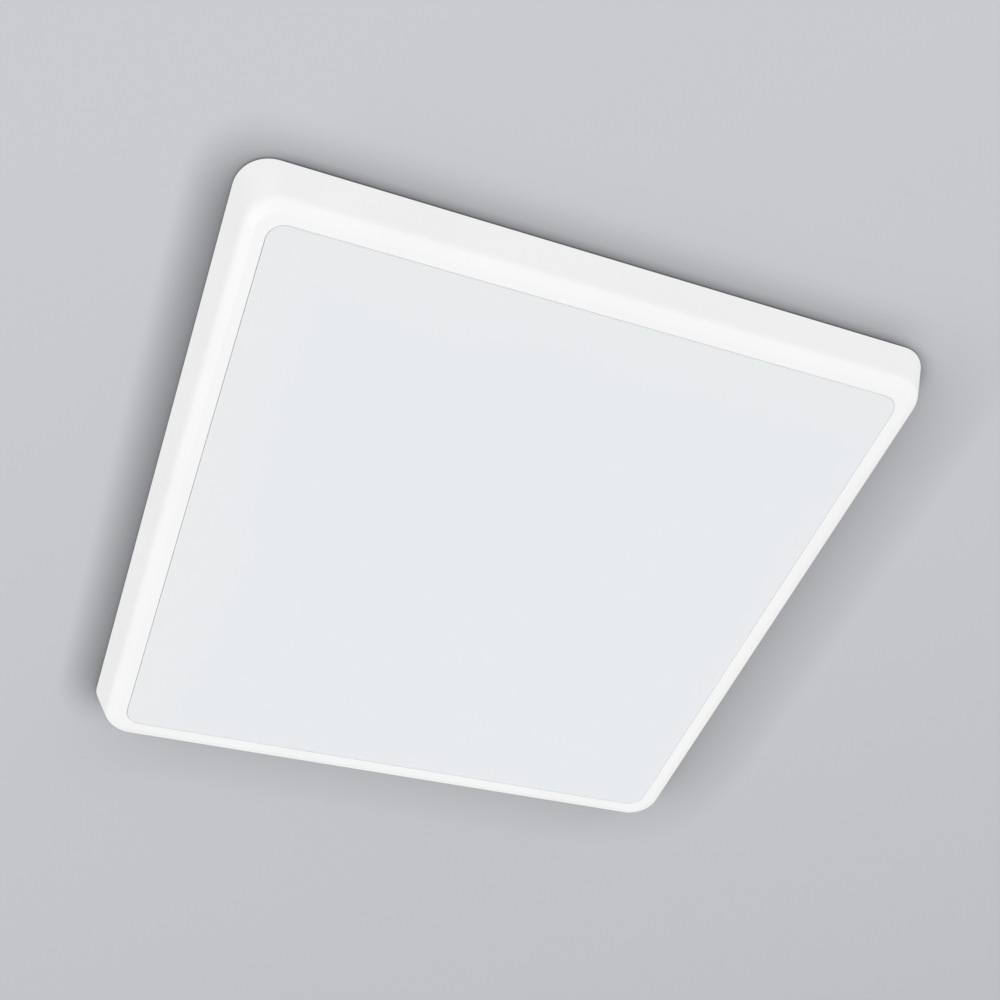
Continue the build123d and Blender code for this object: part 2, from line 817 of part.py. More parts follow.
def gear_screw_places():
    """x and y of the screws that hold the driver and the terminal box."""
    return [(x, driver_y) for x in driver_screw_xs()] + [(x, box_y) for x in box_screw_xs()]


def gear_screw(x, y, ear_thickness):
    """A pan head screw through a case's ear into the plateau."""
    top = plateau_z + ear_thickness
    head = pan_head(gear_screw_head_radius, gear_screw_head_height, x, y, top)
    return head + rod(gear_screw_radius - screw_play, x, y, plateau_z - gear_screw_reach, top)


def driver_case():
    """The driver's lower case, with screw ears and openings for its leads."""
    case = rounded_slab(
        driver_length, driver_width, driver_corner_radius, 0, driver_y, plateau_z, driver_top_z
    )
    ear = (driver_ear_length, driver_ear_width, driver_ear_thickness)
    for side in (-1, 1):
        case += gear_ear(*ear, side * driver_length / 2, driver_y, side)
    case -= rounded_slab(
        driver_length - 2 * driver_wall,
        driver_width - 2 * driver_wall,
        driver_corner_radius - driver_wall,
        0,
        driver_y,
        driver_floor_z,
        driver_top_z,
    )
    for x, y, z, radius in driver_lead_holes():
        case -= Pos(x, y, z) * Rot(0, 90, 0) * Cylinder(radius, 4 * driver_wall)
    return case


def driver_lead_holes():
    """Centre and radius of each lead's hole: mains in at the -X end, feed wires out at the +X end."""
    end = driver_length / 2
    inputs = [(-end, y, driver_lead_z, lead_radius + lead_bore_play) for y in mains_lead_ys()]
    outputs = [(end, y, driver_lead_z, feed_radius + lead_bore_play) for y in feed_lead_ys()]
    return inputs + outputs


def mains_lead_ys():
    """y of the live and neutral leads where they reach the driver."""
    first = driver_front_y - 5 * lead_radius
    return (first, first - 4 * lead_radius)


def feed_lead_ys():
    """y of the two feed wires where they leave the driver."""
    first = driver_y - driver_width / 2 + 12 * feed_radius
    return (first + feed_spacing, first)


def driver_cover():
    """The driver's lid, with a row of vent slots and a rim that drops inside the case."""
    top = driver_top_z + driver_lid
    lid = rounded_slab(driver_length, driver_width, driver_corner_radius, 0, driver_y, driver_top_z, top)
    lid = fillet(lid.edges().group_by(Axis.Z)[-1], driver_lid / 2)
    rim_length = driver_length - 2 * driver_wall - 2 * driver_board_play
    rim_width = driver_width - 2 * driver_wall - 2 * driver_board_play
    rim_radius = driver_corner_radius - driver_wall
    rim_low = driver_top_z - driver_lid
    rim = rounded_slab(rim_length, rim_width, rim_radius, 0, driver_y, rim_low, driver_top_z)
    rim -= slab(
        rim_length - 2 * driver_wall, rim_width - 2 * driver_wall, 0, driver_y, rim_low, driver_top_z
    )
    lid += rim
    for x in spread(vent_count, vent_pitch * (vent_count - 1)):
        vent = Pos(x, driver_y, driver_top_z) * Rot(0, 0, 90) * SlotOverall(vent_length, vent_width)
        lid -= extrude(vent, driver_lid)
    return lid


def driver_board():
    """The driver's circuit board on its four stand-offs."""
    low = driver_board_z - driver_board_sheet
    length = driver_length - 2 * driver_wall - 2 * driver_board_play
    width = driver_width - 2 * driver_wall - 2 * driver_board_play
    corner = driver_corner_radius - driver_wall
    board = rounded_slab(length, width, corner, 0, driver_y, low, driver_board_z)
    for x in (-length / 2 + standoff_inset, length / 2 - standoff_inset):
        for y in (-width / 2 + standoff_inset, width / 2 - standoff_inset):
            board += rod(standoff_radius, x, driver_y + y, driver_floor_z, low)
    return board


def driver_transformer():
    """The small ferrite transformer on the board: an E shaped core round a wound bobbin."""
    length, width, height = transformer_size
    low = driver_board_z
    top = low + height
    core = slab(length, width, transformer_x, driver_y, low, top)
    flange = bobbin_flange
    winding = slab(length / 2, width + 2 * flange, transformer_x, driver_y, low + flange, top - flange)
    winding = fillet(winding.edges().filter_by(Axis.X), bobbin_flange / 2)
    return core + winding


def driver_capacitors():
    """The two electrolytic capacitors, lying on the board."""
    radius = capacitor_radius
    end = capacitor_length / 2
    crimp = end - 3 * capacitor_crimp
    waist = radius - capacitor_crimp
    can = turned([
        (0, -end),
        (radius, -end),
        (radius, crimp - capacitor_crimp),
        (waist, crimp),
        (radius, crimp + capacitor_crimp),
        (radius, end),
        (0, end),
    ])
    lying = Rot(0, 90, 0) * can
    return [Pos(x, driver_y, driver_board_z + radius) * lying for x in capacitor_xs]


def driver_choke():
    """The drum core choke on the board, with its waist of wire."""
    step = choke_height / 4
    low = driver_board_z
    return rod(choke_radius, choke_x, driver_y, low, low + step) + rod(
        choke_radius * choke_waist, choke_x, driver_y, low + step, low + 3 * step
    ) + rod(choke_radius, choke_x, driver_y, low + 3 * step, low + choke_height)


# ---------------------------------------------------------------- terminal box
def terminal_box():
    """The box that the mains cable is wired in, with saddle, notches, ears and hinge ears."""
    box = rounded_slab(box_length, box_width, box_corner_radius, 0, box_y, plateau_z, box_top_z)
    ear = (box_ear_length, box_ear_width, box_ear_thickness)
    for side in (-1, 1):
        box += gear_ear(*ear, side * box_length / 2, box_y, side)
    box -= rounded_slab(
        box_length - 2 * box_wall,
        box_width - 2 * box_wall,
        box_corner_radius - box_wall,
        0,
        box_y,
        box_floor_z,
        box_top_z,
    )
    front_y = box_front_y + box_wall / 2
    notch_radius = cable_radius + notch_play
    box -= slab(2 * notch_radius, 2 * box_wall, clamp_x, front_y, cable_axis_z, box_top_z)
    box -= Pos(clamp_x, front_y, cable_axis_z) * Rot(90, 0, 0) * Cylinder(notch_radius, 2 * box_wall)
    lead_half = lead_pitch + lead_radius + lead_notch_play
    lead_low = wire_axis_z - lead_radius - lead_gap
    box -= slab(2 * lead_half, 2 * box_wall, lead_notch_x, front_y, lead_low, box_top_z)
    saddle = slab(saddle_length, saddle_width, clamp_x, clamp_y, box_floor_z, cable_axis_z - saddle_split)
    saddle -= cable_core()
    for x in clamp_screw_xs():
        saddle -= rod(clamp_screw_radius, x, clamp_y, box_floor_z, cable_axis_z)
    box += saddle
    for side in (-1, 1):
        box += hinge_ear(side)
    return box


def cable_core():
    """The round space that the mains cable takes where it is clamped."""
    return Pos(clamp_x, clamp_y, cable_axis_z) * Rot(90, 0, 0) * Cylinder(cable_radius, 2 * saddle_width)


def clamp_screw_xs():
    """x of the two screws of the cable clamp."""
    return (clamp_x - clamp_screw_spacing / 2, clamp_x + clamp_screw_spacing / 2)


def hinge_ear(side):
    """One of the two ears behind the box's rear wall that take the lid's pins."""
    x = side * (hinge_barrel_length / 2 + hinge_side_play + hinge_ear_thickness / 2)
    lug = Pos(x, hinge_y, hinge_z) * Rot(0, 90, 0) * Cylinder(hinge_ear_radius, hinge_ear_thickness)
    depth = hinge_outset + hinge_ear_radius
    web_y = hinge_y - hinge_outset + depth / 2
    web = slab(hinge_ear_thickness, depth, x, web_y, hinge_z - 2 * hinge_ear_radius, box_top_z)
    hole = Pos(x, hinge_y, hinge_z) * Rot(0, 90, 0) * Cylinder(
        hinge_pin_radius + hinge_play, hinge_ear_thickness
    )
    return lug + web - hole


def terminal_cover():
    """The hinged lid of the terminal box, with barrel, pins and closing tongue."""
    full_edge = hinge_y - hinge_ear_radius - hinge_relief
    depth = full_edge - box_front_y
    lid = rounded_slab(
        box_length, depth, box_corner_radius, 0, box_front_y + depth / 2, lid_low_z, lid_low_z + lid_sheet
    )
    bridge_depth = hinge_y - full_edge + box_corner_radius
    lid += slab(
        hinge_barrel_length, bridge_depth, 0, hinge_y - bridge_depth / 2, lid_low_z, lid_low_z + lid_sheet
    )
    place = Pos(0, hinge_y, hinge_z) * Rot(0, 90, 0)
    lid += place * Cylinder(hinge_barrel_radius, hinge_barrel_length)
    pin_length = hinge_barrel_length + 2 * hinge_ear_thickness + hinge_side_play
    lid += place * Cylinder(hinge_pin_radius, pin_length)
    top = lid_low_z + lid_sheet
    reach = lid_tongue_gap + lid_sheet
    lid += slab(lid_tongue_width, 2 * reach, 0, box_front_y, lid_low_z, top)
    tongue_y = box_front_y - lid_tongue_gap - lid_sheet / 2
    return lid + slab(lid_tongue_width, lid_sheet, 0, tongue_y, top - lid_tongue_length, top)


def cable_clamp():
    """The bar that presses the mains cable onto its saddle."""
    low = cable_axis_z + saddle_split
    top = cable_axis_z + cable_radius + saddle_roof
    bar = slab(saddle_length, saddle_width, clamp_x, clamp_y, low, top)
    bar = fillet(bar.edges().group_by(Axis.Z)[-1].filter_by(Axis.Y), saddle_roof)
    bar -= cable_core()
    for x in clamp_screw_xs():
        bar -= rod(clamp_screw_radius, x, clamp_y, low, top)
    return bar


def clamp_screws():
    """The two screws of the cable clamp."""
    top = cable_axis_z + cable_radius + saddle_roof
    screws = []
    for x in clamp_screw_xs():
        head = rod(clamp_screw_head_radius, x, clamp_y, top, top + clamp_screw_head_height)
        head -= slab(
            2 * clamp_screw_head_radius, clamp_screw_head_radius / 4, x, clamp_y,
            top + clamp_screw_head_height / 2, top + clamp_screw_head_height
        )
        screws.append(head + rod(clamp_screw_radius - screw_play, x, clamp_y, box_floor_z, top))
    return screws


# ---------------------------------------------------------------- terminal block
def pole_ys():
    """y of each pole of the terminal block: live, neutral and earth."""
    return [box_y + y for y in spread(pole_count, pole_pitch * (pole_count - 1))]


def terminal_block():
    """The three pole block: wire bores at +X, lead bores at -X, a button pocket on each pole."""
    block = slab(block_length, block_width, block_x, box_y, box_floor_z, block_top_z)
    block = fillet(block.edges().group_by(Axis.Z)[-1].filter_by(Axis.Y), pole_groove)
    wire_end = block_x + block_length / 2
    lead_end = block_x - block_length / 2
    for y in pole_ys():
        wire = Pos(wire_end - wire_bore_depth / 2, y, wire_axis_z) * Rot(0, 90, 0)
        block -= wire * Cylinder(wire_bore_radius, wire_bore_depth)
        lead = Pos(lead_end + lead_bore_depth / 2, y, wire_axis_z) * Rot(0, 90, 0)
        block -= lead * Cylinder(lead_radius + lead_bore_play, lead_bore_depth)
        block -= slab(
            button_length + 2 * button_play, button_width + 2 * button_play, block_x + pocket_x, y,
            pocket_floor_z, block_top_z
        )
        block -= contact(y, contact_play)
    for y in (box_y - pole_pitch / 2, box_y + pole_pitch / 2):
        block -= slab(block_length, pole_groove, block_x, y, block_top_z - pole_groove, block_top_z)
    return block


def contact(y, play=0.0):
    """The bent spring strip of one pole: a foot under the bore, an upright, a leaf under the button."""
    back = block_x - contact_back
    foot_end = back + contact_foot
    leaf_end = block_x + pocket_x + button_length / 2 - button_play
    foot_top = contact_low_z + contact_sheet
    leaf_top = pocket_floor_z + contact_sheet
    outline = Polyline(
        (back - play, contact_low_z - play),
        (foot_end + play, contact_low_z - play),
        (foot_end + play, foot_top + play),
        (back + contact_sheet + play, foot_top + play),
        (back + contact_sheet + play, pocket_floor_z - play),
        (leaf_end + play, pocket_floor_z - play),
        (leaf_end + play, leaf_top + play),
        (back - play, leaf_top + play),
        close=True,
    )
    width = contact_width / 2 + play
    return Pos(0, y, 0) * extrude(Plane.XZ * make_face(outline), width, both=True)


def release_button(y):
    """A push button that opens one pole's spring, with a groove for the tool."""
    x = block_x + pocket_x
    top = block_top_z + button_stand
    button = slab(button_length, button_width, x, y, button_low_z, top)
    button = fillet(button.edges().group_by(Axis.Z)[-1].filter_by(Axis.Y), button_stand / 3)
    return button - slab(button_length, button_width / 4, x, y, top - button_stand / 2, top)


# ---------------------------------------------------------------- leads
def mains_lead(name, pole_y, side, driver_lead_y):
    """An insulated lead from the terminal block, under the bracket, to the driver's -X end."""
    start_x = block_x - block_length / 2 + lead_bore_depth
    notch_x = lead_notch_x + side * lead_pitch
    drop = side * lead_pitch * 0.65
    corner_x = -driver_length / 2 - driver_ear_length - lead_bend_room + side * lead_pitch
    points = [
        (start_x, pole_y, wire_axis_z),
        (notch_x, pole_y, wire_axis_z),
        (notch_x, box_front_y - 4, wire_axis_z),
        (notch_x, box_front_y - 20, lead_z),
        (notch_x, 2 - drop, lead_z),
        (corner_x, driver_front_y + 24 - drop, lead_z),
        (corner_x, driver_front_y + 19 - drop, lead_z),
        (corner_x, driver_lead_y + 9, driver_lead_z),
        (corner_x, driver_lead_y, driver_lead_z),
        (-driver_length / 2 + driver_wall + lead_inside, driver_lead_y, driver_lead_z),
    ]
    return lead(name, points, [6.0, 12.0, 12.0, 12.0, 4.0, 5.0, 5.0, 3.5], lead_radius)


def earth_lead():
    """The insulated lead from the earth pole to the tag under the earth screw."""
    start_x = block_x - block_length / 2 + lead_bore_depth
    notch_x = lead_notch_x - lead_pitch
    pole_y = pole_ys()[-1]
    barrel_z = plateau_z + earth_barrel_wall + lead_radius
    points = [
        (start_x, pole_y, wire_axis_z),
        (notch_x, pole_y, wire_axis_z),
        (notch_x, earth_y, wire_axis_z),
        (earth_x + earth_tag_reach + 2, earth_y, barrel_z),
        (earth_x + earth_tag_reach - earth_barrel_length + 1, earth_y, barrel_z),
    ]
    return lead("earth lead", points, [6.0, 5.0, 5.0], lead_radius)


def earth_tag():
    """The ring tag under the earth screw, with a barrel that grips the lead."""
    tag = rod(earth_tag_radius, earth_x, earth_y, plateau_z, plateau_z + earth_tag_sheet)
    tag -= rod(earth_screw_radius, earth_x, earth_y, plateau_z, plateau_z + earth_tag_sheet)
    outer = lead_radius + earth_barrel_wall
    barrel_x = earth_x + earth_tag_reach - earth_barrel_length / 2
    neck_end = barrel_x - earth_barrel_length / 2 + 1
    neck_start = earth_x + earth_screw_radius + 1
    tag += slab(
        neck_end - neck_start, 2 * lead_radius, (neck_start + neck_end) / 2, earth_y, plateau_z,
        plateau_z + earth_tag_sheet
    )
    place = Pos(barrel_x, earth_y, plateau_z + outer) * Rot(0, 90, 0)
    tag += place * Cylinder(outer, earth_barrel_length)
    return tag - place * Cylinder(lead_radius, earth_barrel_length)


def earth_screw():
    """The earthing screw through the tag into the plateau."""
    low = plateau_z + earth_tag_sheet
    head = pan_head(earth_head_radius, earth_head_height, earth_x, earth_y, low)
    return head + rod(earth_screw_radius - screw_play, earth_x, earth_y, plateau_z - gear_screw_reach, low)


def feed_place():
    """x and y where the feed wires pass through the back plate, just past one strip's end."""
    return board_x, -strip_length / 2 - feed_from_strip


def feed_wire(index):
    """One of the two thin wires from the driver, down through the plate, to the +X strip's end."""
    x, y = feed_place()
    side = (0.5, -0.5)[index]
    hole_y = y + side * feed_spacing
    strip_wire_z = strip_z + side * jumper_spacing
    low_z = plate_top_z + lead_gap + feed_radius
    exit_z = plate_top_z + feed_grommet_flange + feed_bend_radius + lead_gap
    high_z = plateau_z + lead_gap + feed_radius
    driver_y_end = feed_lead_ys()[index]
    driver_end = driver_length / 2
    skew = side * feed_spacing * math.tan(math.radians(22.5))
    turn_x = driver_end + 24 + skew
    diagonal_x = turn_x + driver_y_end - hole_y

    def on_diagonal(place_y, z):
        return (turn_x + driver_y_end - place_y, place_y, z)

    points = [
        (x, -strip_length / 2, strip_wire_z),
        (x, hole_y, strip_wire_z),
        (x, hole_y, exit_z),
        (diagonal_x, hole_y, low_z),
        on_diagonal(-plateau_half_y - 9, low_z),
        on_diagonal(-plateau_half_y, high_z),
        (turn_x, driver_y_end, high_z),
        (driver_end + 18, driver_y_end, high_z),
        (driver_end + 5, driver_y_end, driver_lead_z),
        (driver_end - driver_wall - lead_inside, driver_y_end, driver_lead_z),
    ]
    bend = feed_bend_radius
    return lead("feed wire", points, [bend, bend, 10.0, 10.0, 10.0, 6.0, 5.0, 5.0], feed_radius)


def feed_grommet():
    """The small rubber bush in the back plate round the feed wires."""
    x, y = feed_place()
    bush = turned([
        (feed_grommet_bore, plate_low_z - feed_grommet_flange),
        (feed_grommet_radius, plate_low_z - feed_grommet_flange),
        (feed_grommet_radius, plate_low_z),
        (feed_hole_radius, plate_low_z),
        (feed_hole_radius, plate_top_z),
        (feed_grommet_radius, plate_top_z),
        (feed_grommet_radius, plate_top_z + feed_grommet_flange),
        (feed_grommet_bore, plate_top_z + feed_grommet_flange),
    ])
    return Pos(x, y, 0) * bush


# ---------------------------------------------------------------- write the parts
def build():
    """Every sub-part by name."""
    poles = pole_ys()
    lead_ys = mains_lead_ys()
    jumpers = corner_jumper()
    parts = {
        "front_frame": front_frame(),
        "gasket": gasket(),
        "diffuser": diffuser(),
        "light_guide": light_guide(),
        "reflector_film": reflector_film(),
        "pressure_pads": pressure_pads(),
        "back_plate": back_plate(),
        "plate_screws": plate_screws(),
        "corner_jumpers": [Rot(0, 0, 90 * turn) * wire for turn in range(3) for wire in jumpers],
        "feed_wires": [feed_wire(0), feed_wire(1)],
        "feed_grommet": feed_grommet(),
        "mounting_bracket": mounting_bracket(),
        "bracket_grommet": bracket_grommet(),
        "clip_rivets": [Rot(0, 0, turn) * rivet for turn in (0, 180) for rivet in clip_rivets()],
        "catch_rivets": catch_rivets(),
        "driver_case": driver_case(),
        "driver_cover": driver_cover(),
        "driver_board": driver_board(),
        "driver_transformer": driver_transformer(),
        "driver_capacitors": driver_capacitors(),
        "driver_choke": driver_choke(),
        "driver_screws": [gear_screw(x, driver_y, driver_ear_thickness) for x in driver_screw_xs()],
        "terminal_box": terminal_box(),
        "terminal_cover": terminal_cover(),
        "terminal_block": terminal_block(),
        "terminal_contacts": [contact(y) for y in poles],
        "cable_clamp": cable_clamp(),
        "clamp_screws": clamp_screws(),
        "box_screws": [gear_screw(x, box_y, box_ear_thickness) for x in box_screw_xs()],
        "live_lead": mains_lead("live lead", poles[0], 1, lead_ys[0]),
        "neutral_lead": mains_lead("neutral lead", poles[1], 0, lead_ys[1]),
        "earth_lead": earth_lead(),
        "earth_tag": earth_tag(),
        "earth_screw": earth_screw(),
    }
    for name, pole_y in zip(("live", "neutral", "earth"), poles):
        parts["release_button_" + name] = release_button(pole_y)
    for name, turn in (("right", 0), ("left", 180)):
        parts["spring_clip_" + name] = Rot(0, 0, turn) * spring_clip()
        parts["catch_" + name] = Rot(0, 0, turn) * catch()
    for name, turn in (("right", 0), ("rear", 90), ("left", 180), ("front", 270)):
        parts["led_board_" + name] = Rot(0, 0, turn) * led_board()
        parts["led_chips_" + name] = [Rot(0, 0, turn) * chip for chip in led_chips()]
        parts["strip_carrier_" + name] = Rot(0, 0, turn) * strip_carrier()
    return parts


def main():
    """Write one STEP file for each sub-part."""
    os.makedirs("parts", exist_ok=True)
    for name, shape in build().items():
        if isinstance(shape, list):
            shape = Compound(children=shape)
        export_step(shape, f"parts/{name}.step")


main()
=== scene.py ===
# %% [markdown]
# # A flush mount ceiling light, dressed for its portrait
#
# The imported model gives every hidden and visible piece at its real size. This lesson keeps those sizes
# and gives each piece the finish of the real thing. Lengths are in metres inside Blender, so every
# size below is written in millimetres and multiplied by mm once.

# %% The fixed frame
import json
import math

import bpy
import numpy as np
from mathutils import Matrix, Vector


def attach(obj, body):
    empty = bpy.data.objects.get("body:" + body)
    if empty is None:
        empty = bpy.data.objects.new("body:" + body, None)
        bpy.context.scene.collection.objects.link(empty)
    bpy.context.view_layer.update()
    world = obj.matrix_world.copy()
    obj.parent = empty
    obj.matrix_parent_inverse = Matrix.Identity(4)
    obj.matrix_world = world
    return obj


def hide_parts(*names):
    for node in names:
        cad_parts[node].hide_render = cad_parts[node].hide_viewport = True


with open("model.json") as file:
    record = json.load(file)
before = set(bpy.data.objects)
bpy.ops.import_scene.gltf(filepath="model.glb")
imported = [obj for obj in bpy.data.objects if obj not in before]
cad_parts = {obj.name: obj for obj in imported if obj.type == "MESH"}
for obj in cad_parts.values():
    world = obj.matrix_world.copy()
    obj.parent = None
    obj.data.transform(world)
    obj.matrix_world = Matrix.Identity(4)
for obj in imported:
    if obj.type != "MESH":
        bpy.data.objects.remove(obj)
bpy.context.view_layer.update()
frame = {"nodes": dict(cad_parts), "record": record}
nodes = frame["nodes"]
slot_of = {part["node"]: part["material_slot"] for part in frame["record"]["subparts"]}
mm = 0.001

# %% [markdown]
# ## The camera
#
# The light is seen from the room below, from its left and a little in front. The straight edges of the
# square frame fix the lens and the place of the camera together, so the camera is written as a place
# and three directions instead of being aimed by hand.

# %% Camera
eye = Vector((-247.0, -484.4, -641.6)) * mm
forward = Vector((0.2972, 0.5486, 0.7815)).normalized()
right = forward.cross(Vector((-0.2164, -0.7585, 0.6148))).normalized()
up = right.cross(forward)
lens = bpy.data.cameras.new("room_camera")
lens.lens = 47.2
lens.sensor_width = 36.0
lens.clip_start = 0.01
camera = bpy.data.objects.new("room_camera", lens)
camera.matrix_world = Matrix.Translation(eye) @ Matrix((right, up, -forward)).transposed().to_4x4()
bpy.context.scene.collection.objects.link(camera)
bpy.context.scene.camera = camera
print("camera", [round(value, 3) for value in eye])

# %% [markdown]
# ## Small helpers
#
# A colour in a paint catalogue is an sRGB hex value, but a shader counts in linear light. One function
# turns one into the other. Another adds a shader node with its settings, values and links, and every
# material below is built with it.


# %% Colours and nodes
def linear(code):
    """sRGB hex to linear: c / 12.92 below 0.04045, else ((c + 0.055) / 1.055) to the power 2.4."""
    shares = np.array([int(code[i:i + 2], 16) for i in (0, 2, 4)]) / 255
    values = np.where(shares <= 0.04045, shares / 12.92, ((shares + 0.055) / 1.055) ** 2.4)
    return (*values.tolist(), 1.0)


def node(tree, kind, values=None, links=None, **settings):
    """Adds one node: settings are its options, values fill its sockets, links join its sockets."""
    made = tree.nodes.new(kind)
    for name, value in settings.items():
        setattr(made, name, value)
    for name, value in (values or {}).items():
        made.inputs[name].default_value = value
    for name, source in (links or {}).items():
        tree.links.new(source, made.inputs[name])
    return made


# %% [markdown]
# A finish starts from one Principled shader whose plain numbers sit on its own sockets. Patterns read
# Object coordinates, which here are real metres, so a pattern's scale is one divided by its real size.


# %% A finish and its patterns
def finish(name, colour, roughness, metallic=0.0, **sockets):
    """A Principled material. Returns the material, its tree, its shader and its Object coordinates."""
    made = bpy.data.materials.new(name)
    made.use_nodes = True
    tree = made.node_tree
    shader = tree.nodes["Principled BSDF"]
    shader.inputs["Base Color"].default_value = linear(colour)
    shader.inputs["Roughness"].default_value = roughness
    shader.inputs["Metallic"].default_value = metallic
    for socket, value in sockets.items():
        shader.inputs[socket.replace("_", " ")].default_value = value
    place = node(tree, "ShaderNodeTexCoord").outputs["Object"]
    return made, tree, shader, place


def mottle(tree, shader, place, size, first, second, detail=3.0, low=0.35, high=0.65):
    """Colour that drifts between two hex values in soft patches of a real size in millimetres."""
    noise = node(tree, "ShaderNodeTexNoise", {"Scale": 1 / (size * mm), "Detail": detail}, {"Vector": place})
    ramp = node(tree, "ShaderNodeValToRGB", links={"Fac": noise.outputs["Fac"]})
    ramp.color_ramp.elements[0].position = low
    ramp.color_ramp.elements[0].color = linear(first)
    ramp.color_ramp.elements[1].position = high
    ramp.color_ramp.elements[1].color = linear(second)
    tree.links.new(ramp.outputs["Color"], shader.inputs["Base Color"])


def grain(tree, shader, place, size, depth, detail=2.0, stretch=(1, 1, 1)):
    """A bumped grain: noise of a real size in millimetres, depth in millimetres, drawn out by stretch."""
    drawn = node(tree, "ShaderNodeMapping", {"Scale": stretch}, {"Vector": place})
    noise = node(tree, "ShaderNodeTexNoise", {"Scale": 1 / (size * mm), "Detail": detail},
                 {"Vector": drawn.outputs["Vector"]})
    bump = node(tree, "ShaderNodeBump", {"Strength": 1.0, "Distance": depth * mm},
                {"Height": noise.outputs["Fac"]})
    tree.links.new(bump.outputs["Normal"], shader.inputs["Normal"])


def rough_patches(tree, shader, place, size, low, high, stretch=(1, 1, 1)):
    """Roughness that wanders between two values in patches of a real size in millimetres."""
    drawn = node(tree, "ShaderNodeMapping", {"Scale": stretch}, {"Vector": place})
    noise = node(tree, "ShaderNodeTexNoise", {"Scale": 1 / (size * mm), "Detail": 3.0},
                 {"Vector": drawn.outputs["Vector"]})
    share = node(tree, "ShaderNodeMapRange",
                 {"From Min": 0.3, "From Max": 0.7, "To Min": low, "To Max": high},
                 {"Value": noise.outputs["Fac"]})
    tree.links.new(share.outputs["Result"], shader.inputs["Roughness"])


materials = {}

# %% [markdown]
# ## Moulded plastics
#
# The frame is ABS, injected into a steel mould whose walls were spark eroded. That leaves a grain of
# about a fifth of a millimetre: under a lamp it gives a broad, quiet sheen instead of a sharp one.
# Grain that fine vanishes at this distance, so it is drawn at 0.45 mm.

# %% Frame plastic
made, tree, shader, place = finish("satin_white_abs", "F6F6F6", 0.46, IOR=1.53)
mottle(tree, shader, place, 60.0, "F5F5F5", "F7F7F7")
grain(tree, shader, place, 0.45, 0.006)
materials["frame_plastic"] = made

# %% [markdown]
# The diffuser is opal acrylic sheet. White pigment scatters the light inside it, so it looks a shade
# cooler and softer than the frame. Its face is faintly satin from the textured roller it was cast on.
# Near its border it is painted a little lighter and warmer, a painted light that stands for the light the
# white lip behind throws back through it: the tone follows the larger of the distances from the two
# middle lines. Two of the borders get more of this painted light, those towards the window, so the middle
# lines are moved away from them.

# %% Opal sheet
made, tree, shader, place = finish("opal_acrylic_sheet", "E8EBEF", 0.34, IOR=1.49, Subsurface_Weight=0.5,
                                   Subsurface_Scale=1.5 * mm, Subsurface_Radius=(1.0, 1.0, 1.0))
# Painted light: the sheet's colour is lighter and warmer near its border, for light thrown back by the lip.
off_middle = (-14 * mm, -16 * mm, 0.0)
moved = node(tree, "ShaderNodeMapping", {"Location": off_middle}, {"Vector": place})
distance = node(tree, "ShaderNodeVectorMath", links={0: moved.outputs["Vector"]}, operation="ABSOLUTE")
parts = node(tree, "ShaderNodeSeparateXYZ", links={0: distance.outputs["Vector"]})
border = node(tree, "ShaderNodeMath", links={0: parts.outputs["X"], 1: parts.outputs["Y"]},
              operation="MAXIMUM")
clouds = node(tree, "ShaderNodeTexNoise", {"Scale": 1 / (140.0 * mm), "Detail": 1.0}, {"Vector": place})
wander = node(tree, "ShaderNodeMapRange", {"To Min": -20 * mm, "To Max": 20 * mm},
              {"Value": clouds.outputs["Fac"]})
reach = node(tree, "ShaderNodeMath", links={0: border.outputs["Value"], 1: wander.outputs["Result"]})
share = node(tree, "ShaderNodeMapRange", {"From Min": 135 * mm, "From Max": 195 * mm},
             {"Value": reach.outputs["Value"]}, interpolation_type="SMOOTHSTEP")
tone = node(tree, "ShaderNodeValToRGB", links={"Fac": share.outputs["Result"]})
tone.color_ramp.elements[0].color = linear("E9ECF0")
tone.color_ramp.elements[1].color = linear("EBEDEF")
tree.links.new(tone.outputs["Color"], shader.inputs["Base Color"])
grain(tree, shader, place, 0.8, 0.004)
materials["opal_sheet"] = made

# %% [markdown]
# Electrical cases are moulded in a warmer, plainer white than the frame. The terminal block, its
# buttons and the shrink sleeves are smoother and take a clearer highlight.

# %% Case, block, button and sleeve plastics
made, tree, shader, place = finish("moulded_case_white", "E6E5DF", 0.5, IOR=1.55)
mottle(tree, shader, place, 22.0, "E2E1DA", "E9E8E3")
grain(tree, shader, place, 0.4, 0.01)
materials["case_plastic"] = made
made, tree, shader, place = finish("polyamide_light_grey", "C9CBCA", 0.36, IOR=1.53)
mottle(tree, shader, place, 6.0, "C5C8C6", "CFD0CF")
grain(tree, shader, place, 0.3, 0.004)
materials["block_plastic"] = made
made, tree, shader, place = finish("polyamide_orange", "D9692B", 0.34, IOR=1.53)
mottle(tree, shader, place, 2.5, "D2622A", "E07232")
grain(tree, shader, place, 0.25, 0.004)
materials["button_plastic"] = made
made, tree, shader, place = finish("pvc_shrink_sleeve", "232B3E", 0.28, IOR=1.54)
mottle(tree, shader, place, 3.0, "1E2536", "2A3348")
grain(tree, shader, place, 0.8, 0.01, stretch=(0.3, 1, 1))
materials["capacitor_sleeve"] = made
print("plastics", len(materials))

# %% [markdown]
# ## Paint, zinc and steel
#
# The back plate is powder coated: the melted powder levels into a faint orange peel, about 1.5 mm from
# crest to crest. The bracket is hot dip galvanised, so its zinc froze in spangles 6 mm wide, each with
# its own brightness. Zinc plated screws are smoother and a little blue, and spring steel is dark and
# finely drawn along the strip.

# %% Metals
made, tree, shader, place = finish("white_powder_coat", "E7E8E6", 0.38, IOR=1.5)
mottle(tree, shader, place, 80.0, "E4E5E3", "EAEBE9")
grain(tree, shader, place, 1.5, 0.03, detail=1.0)
materials["painted_steel"] = made

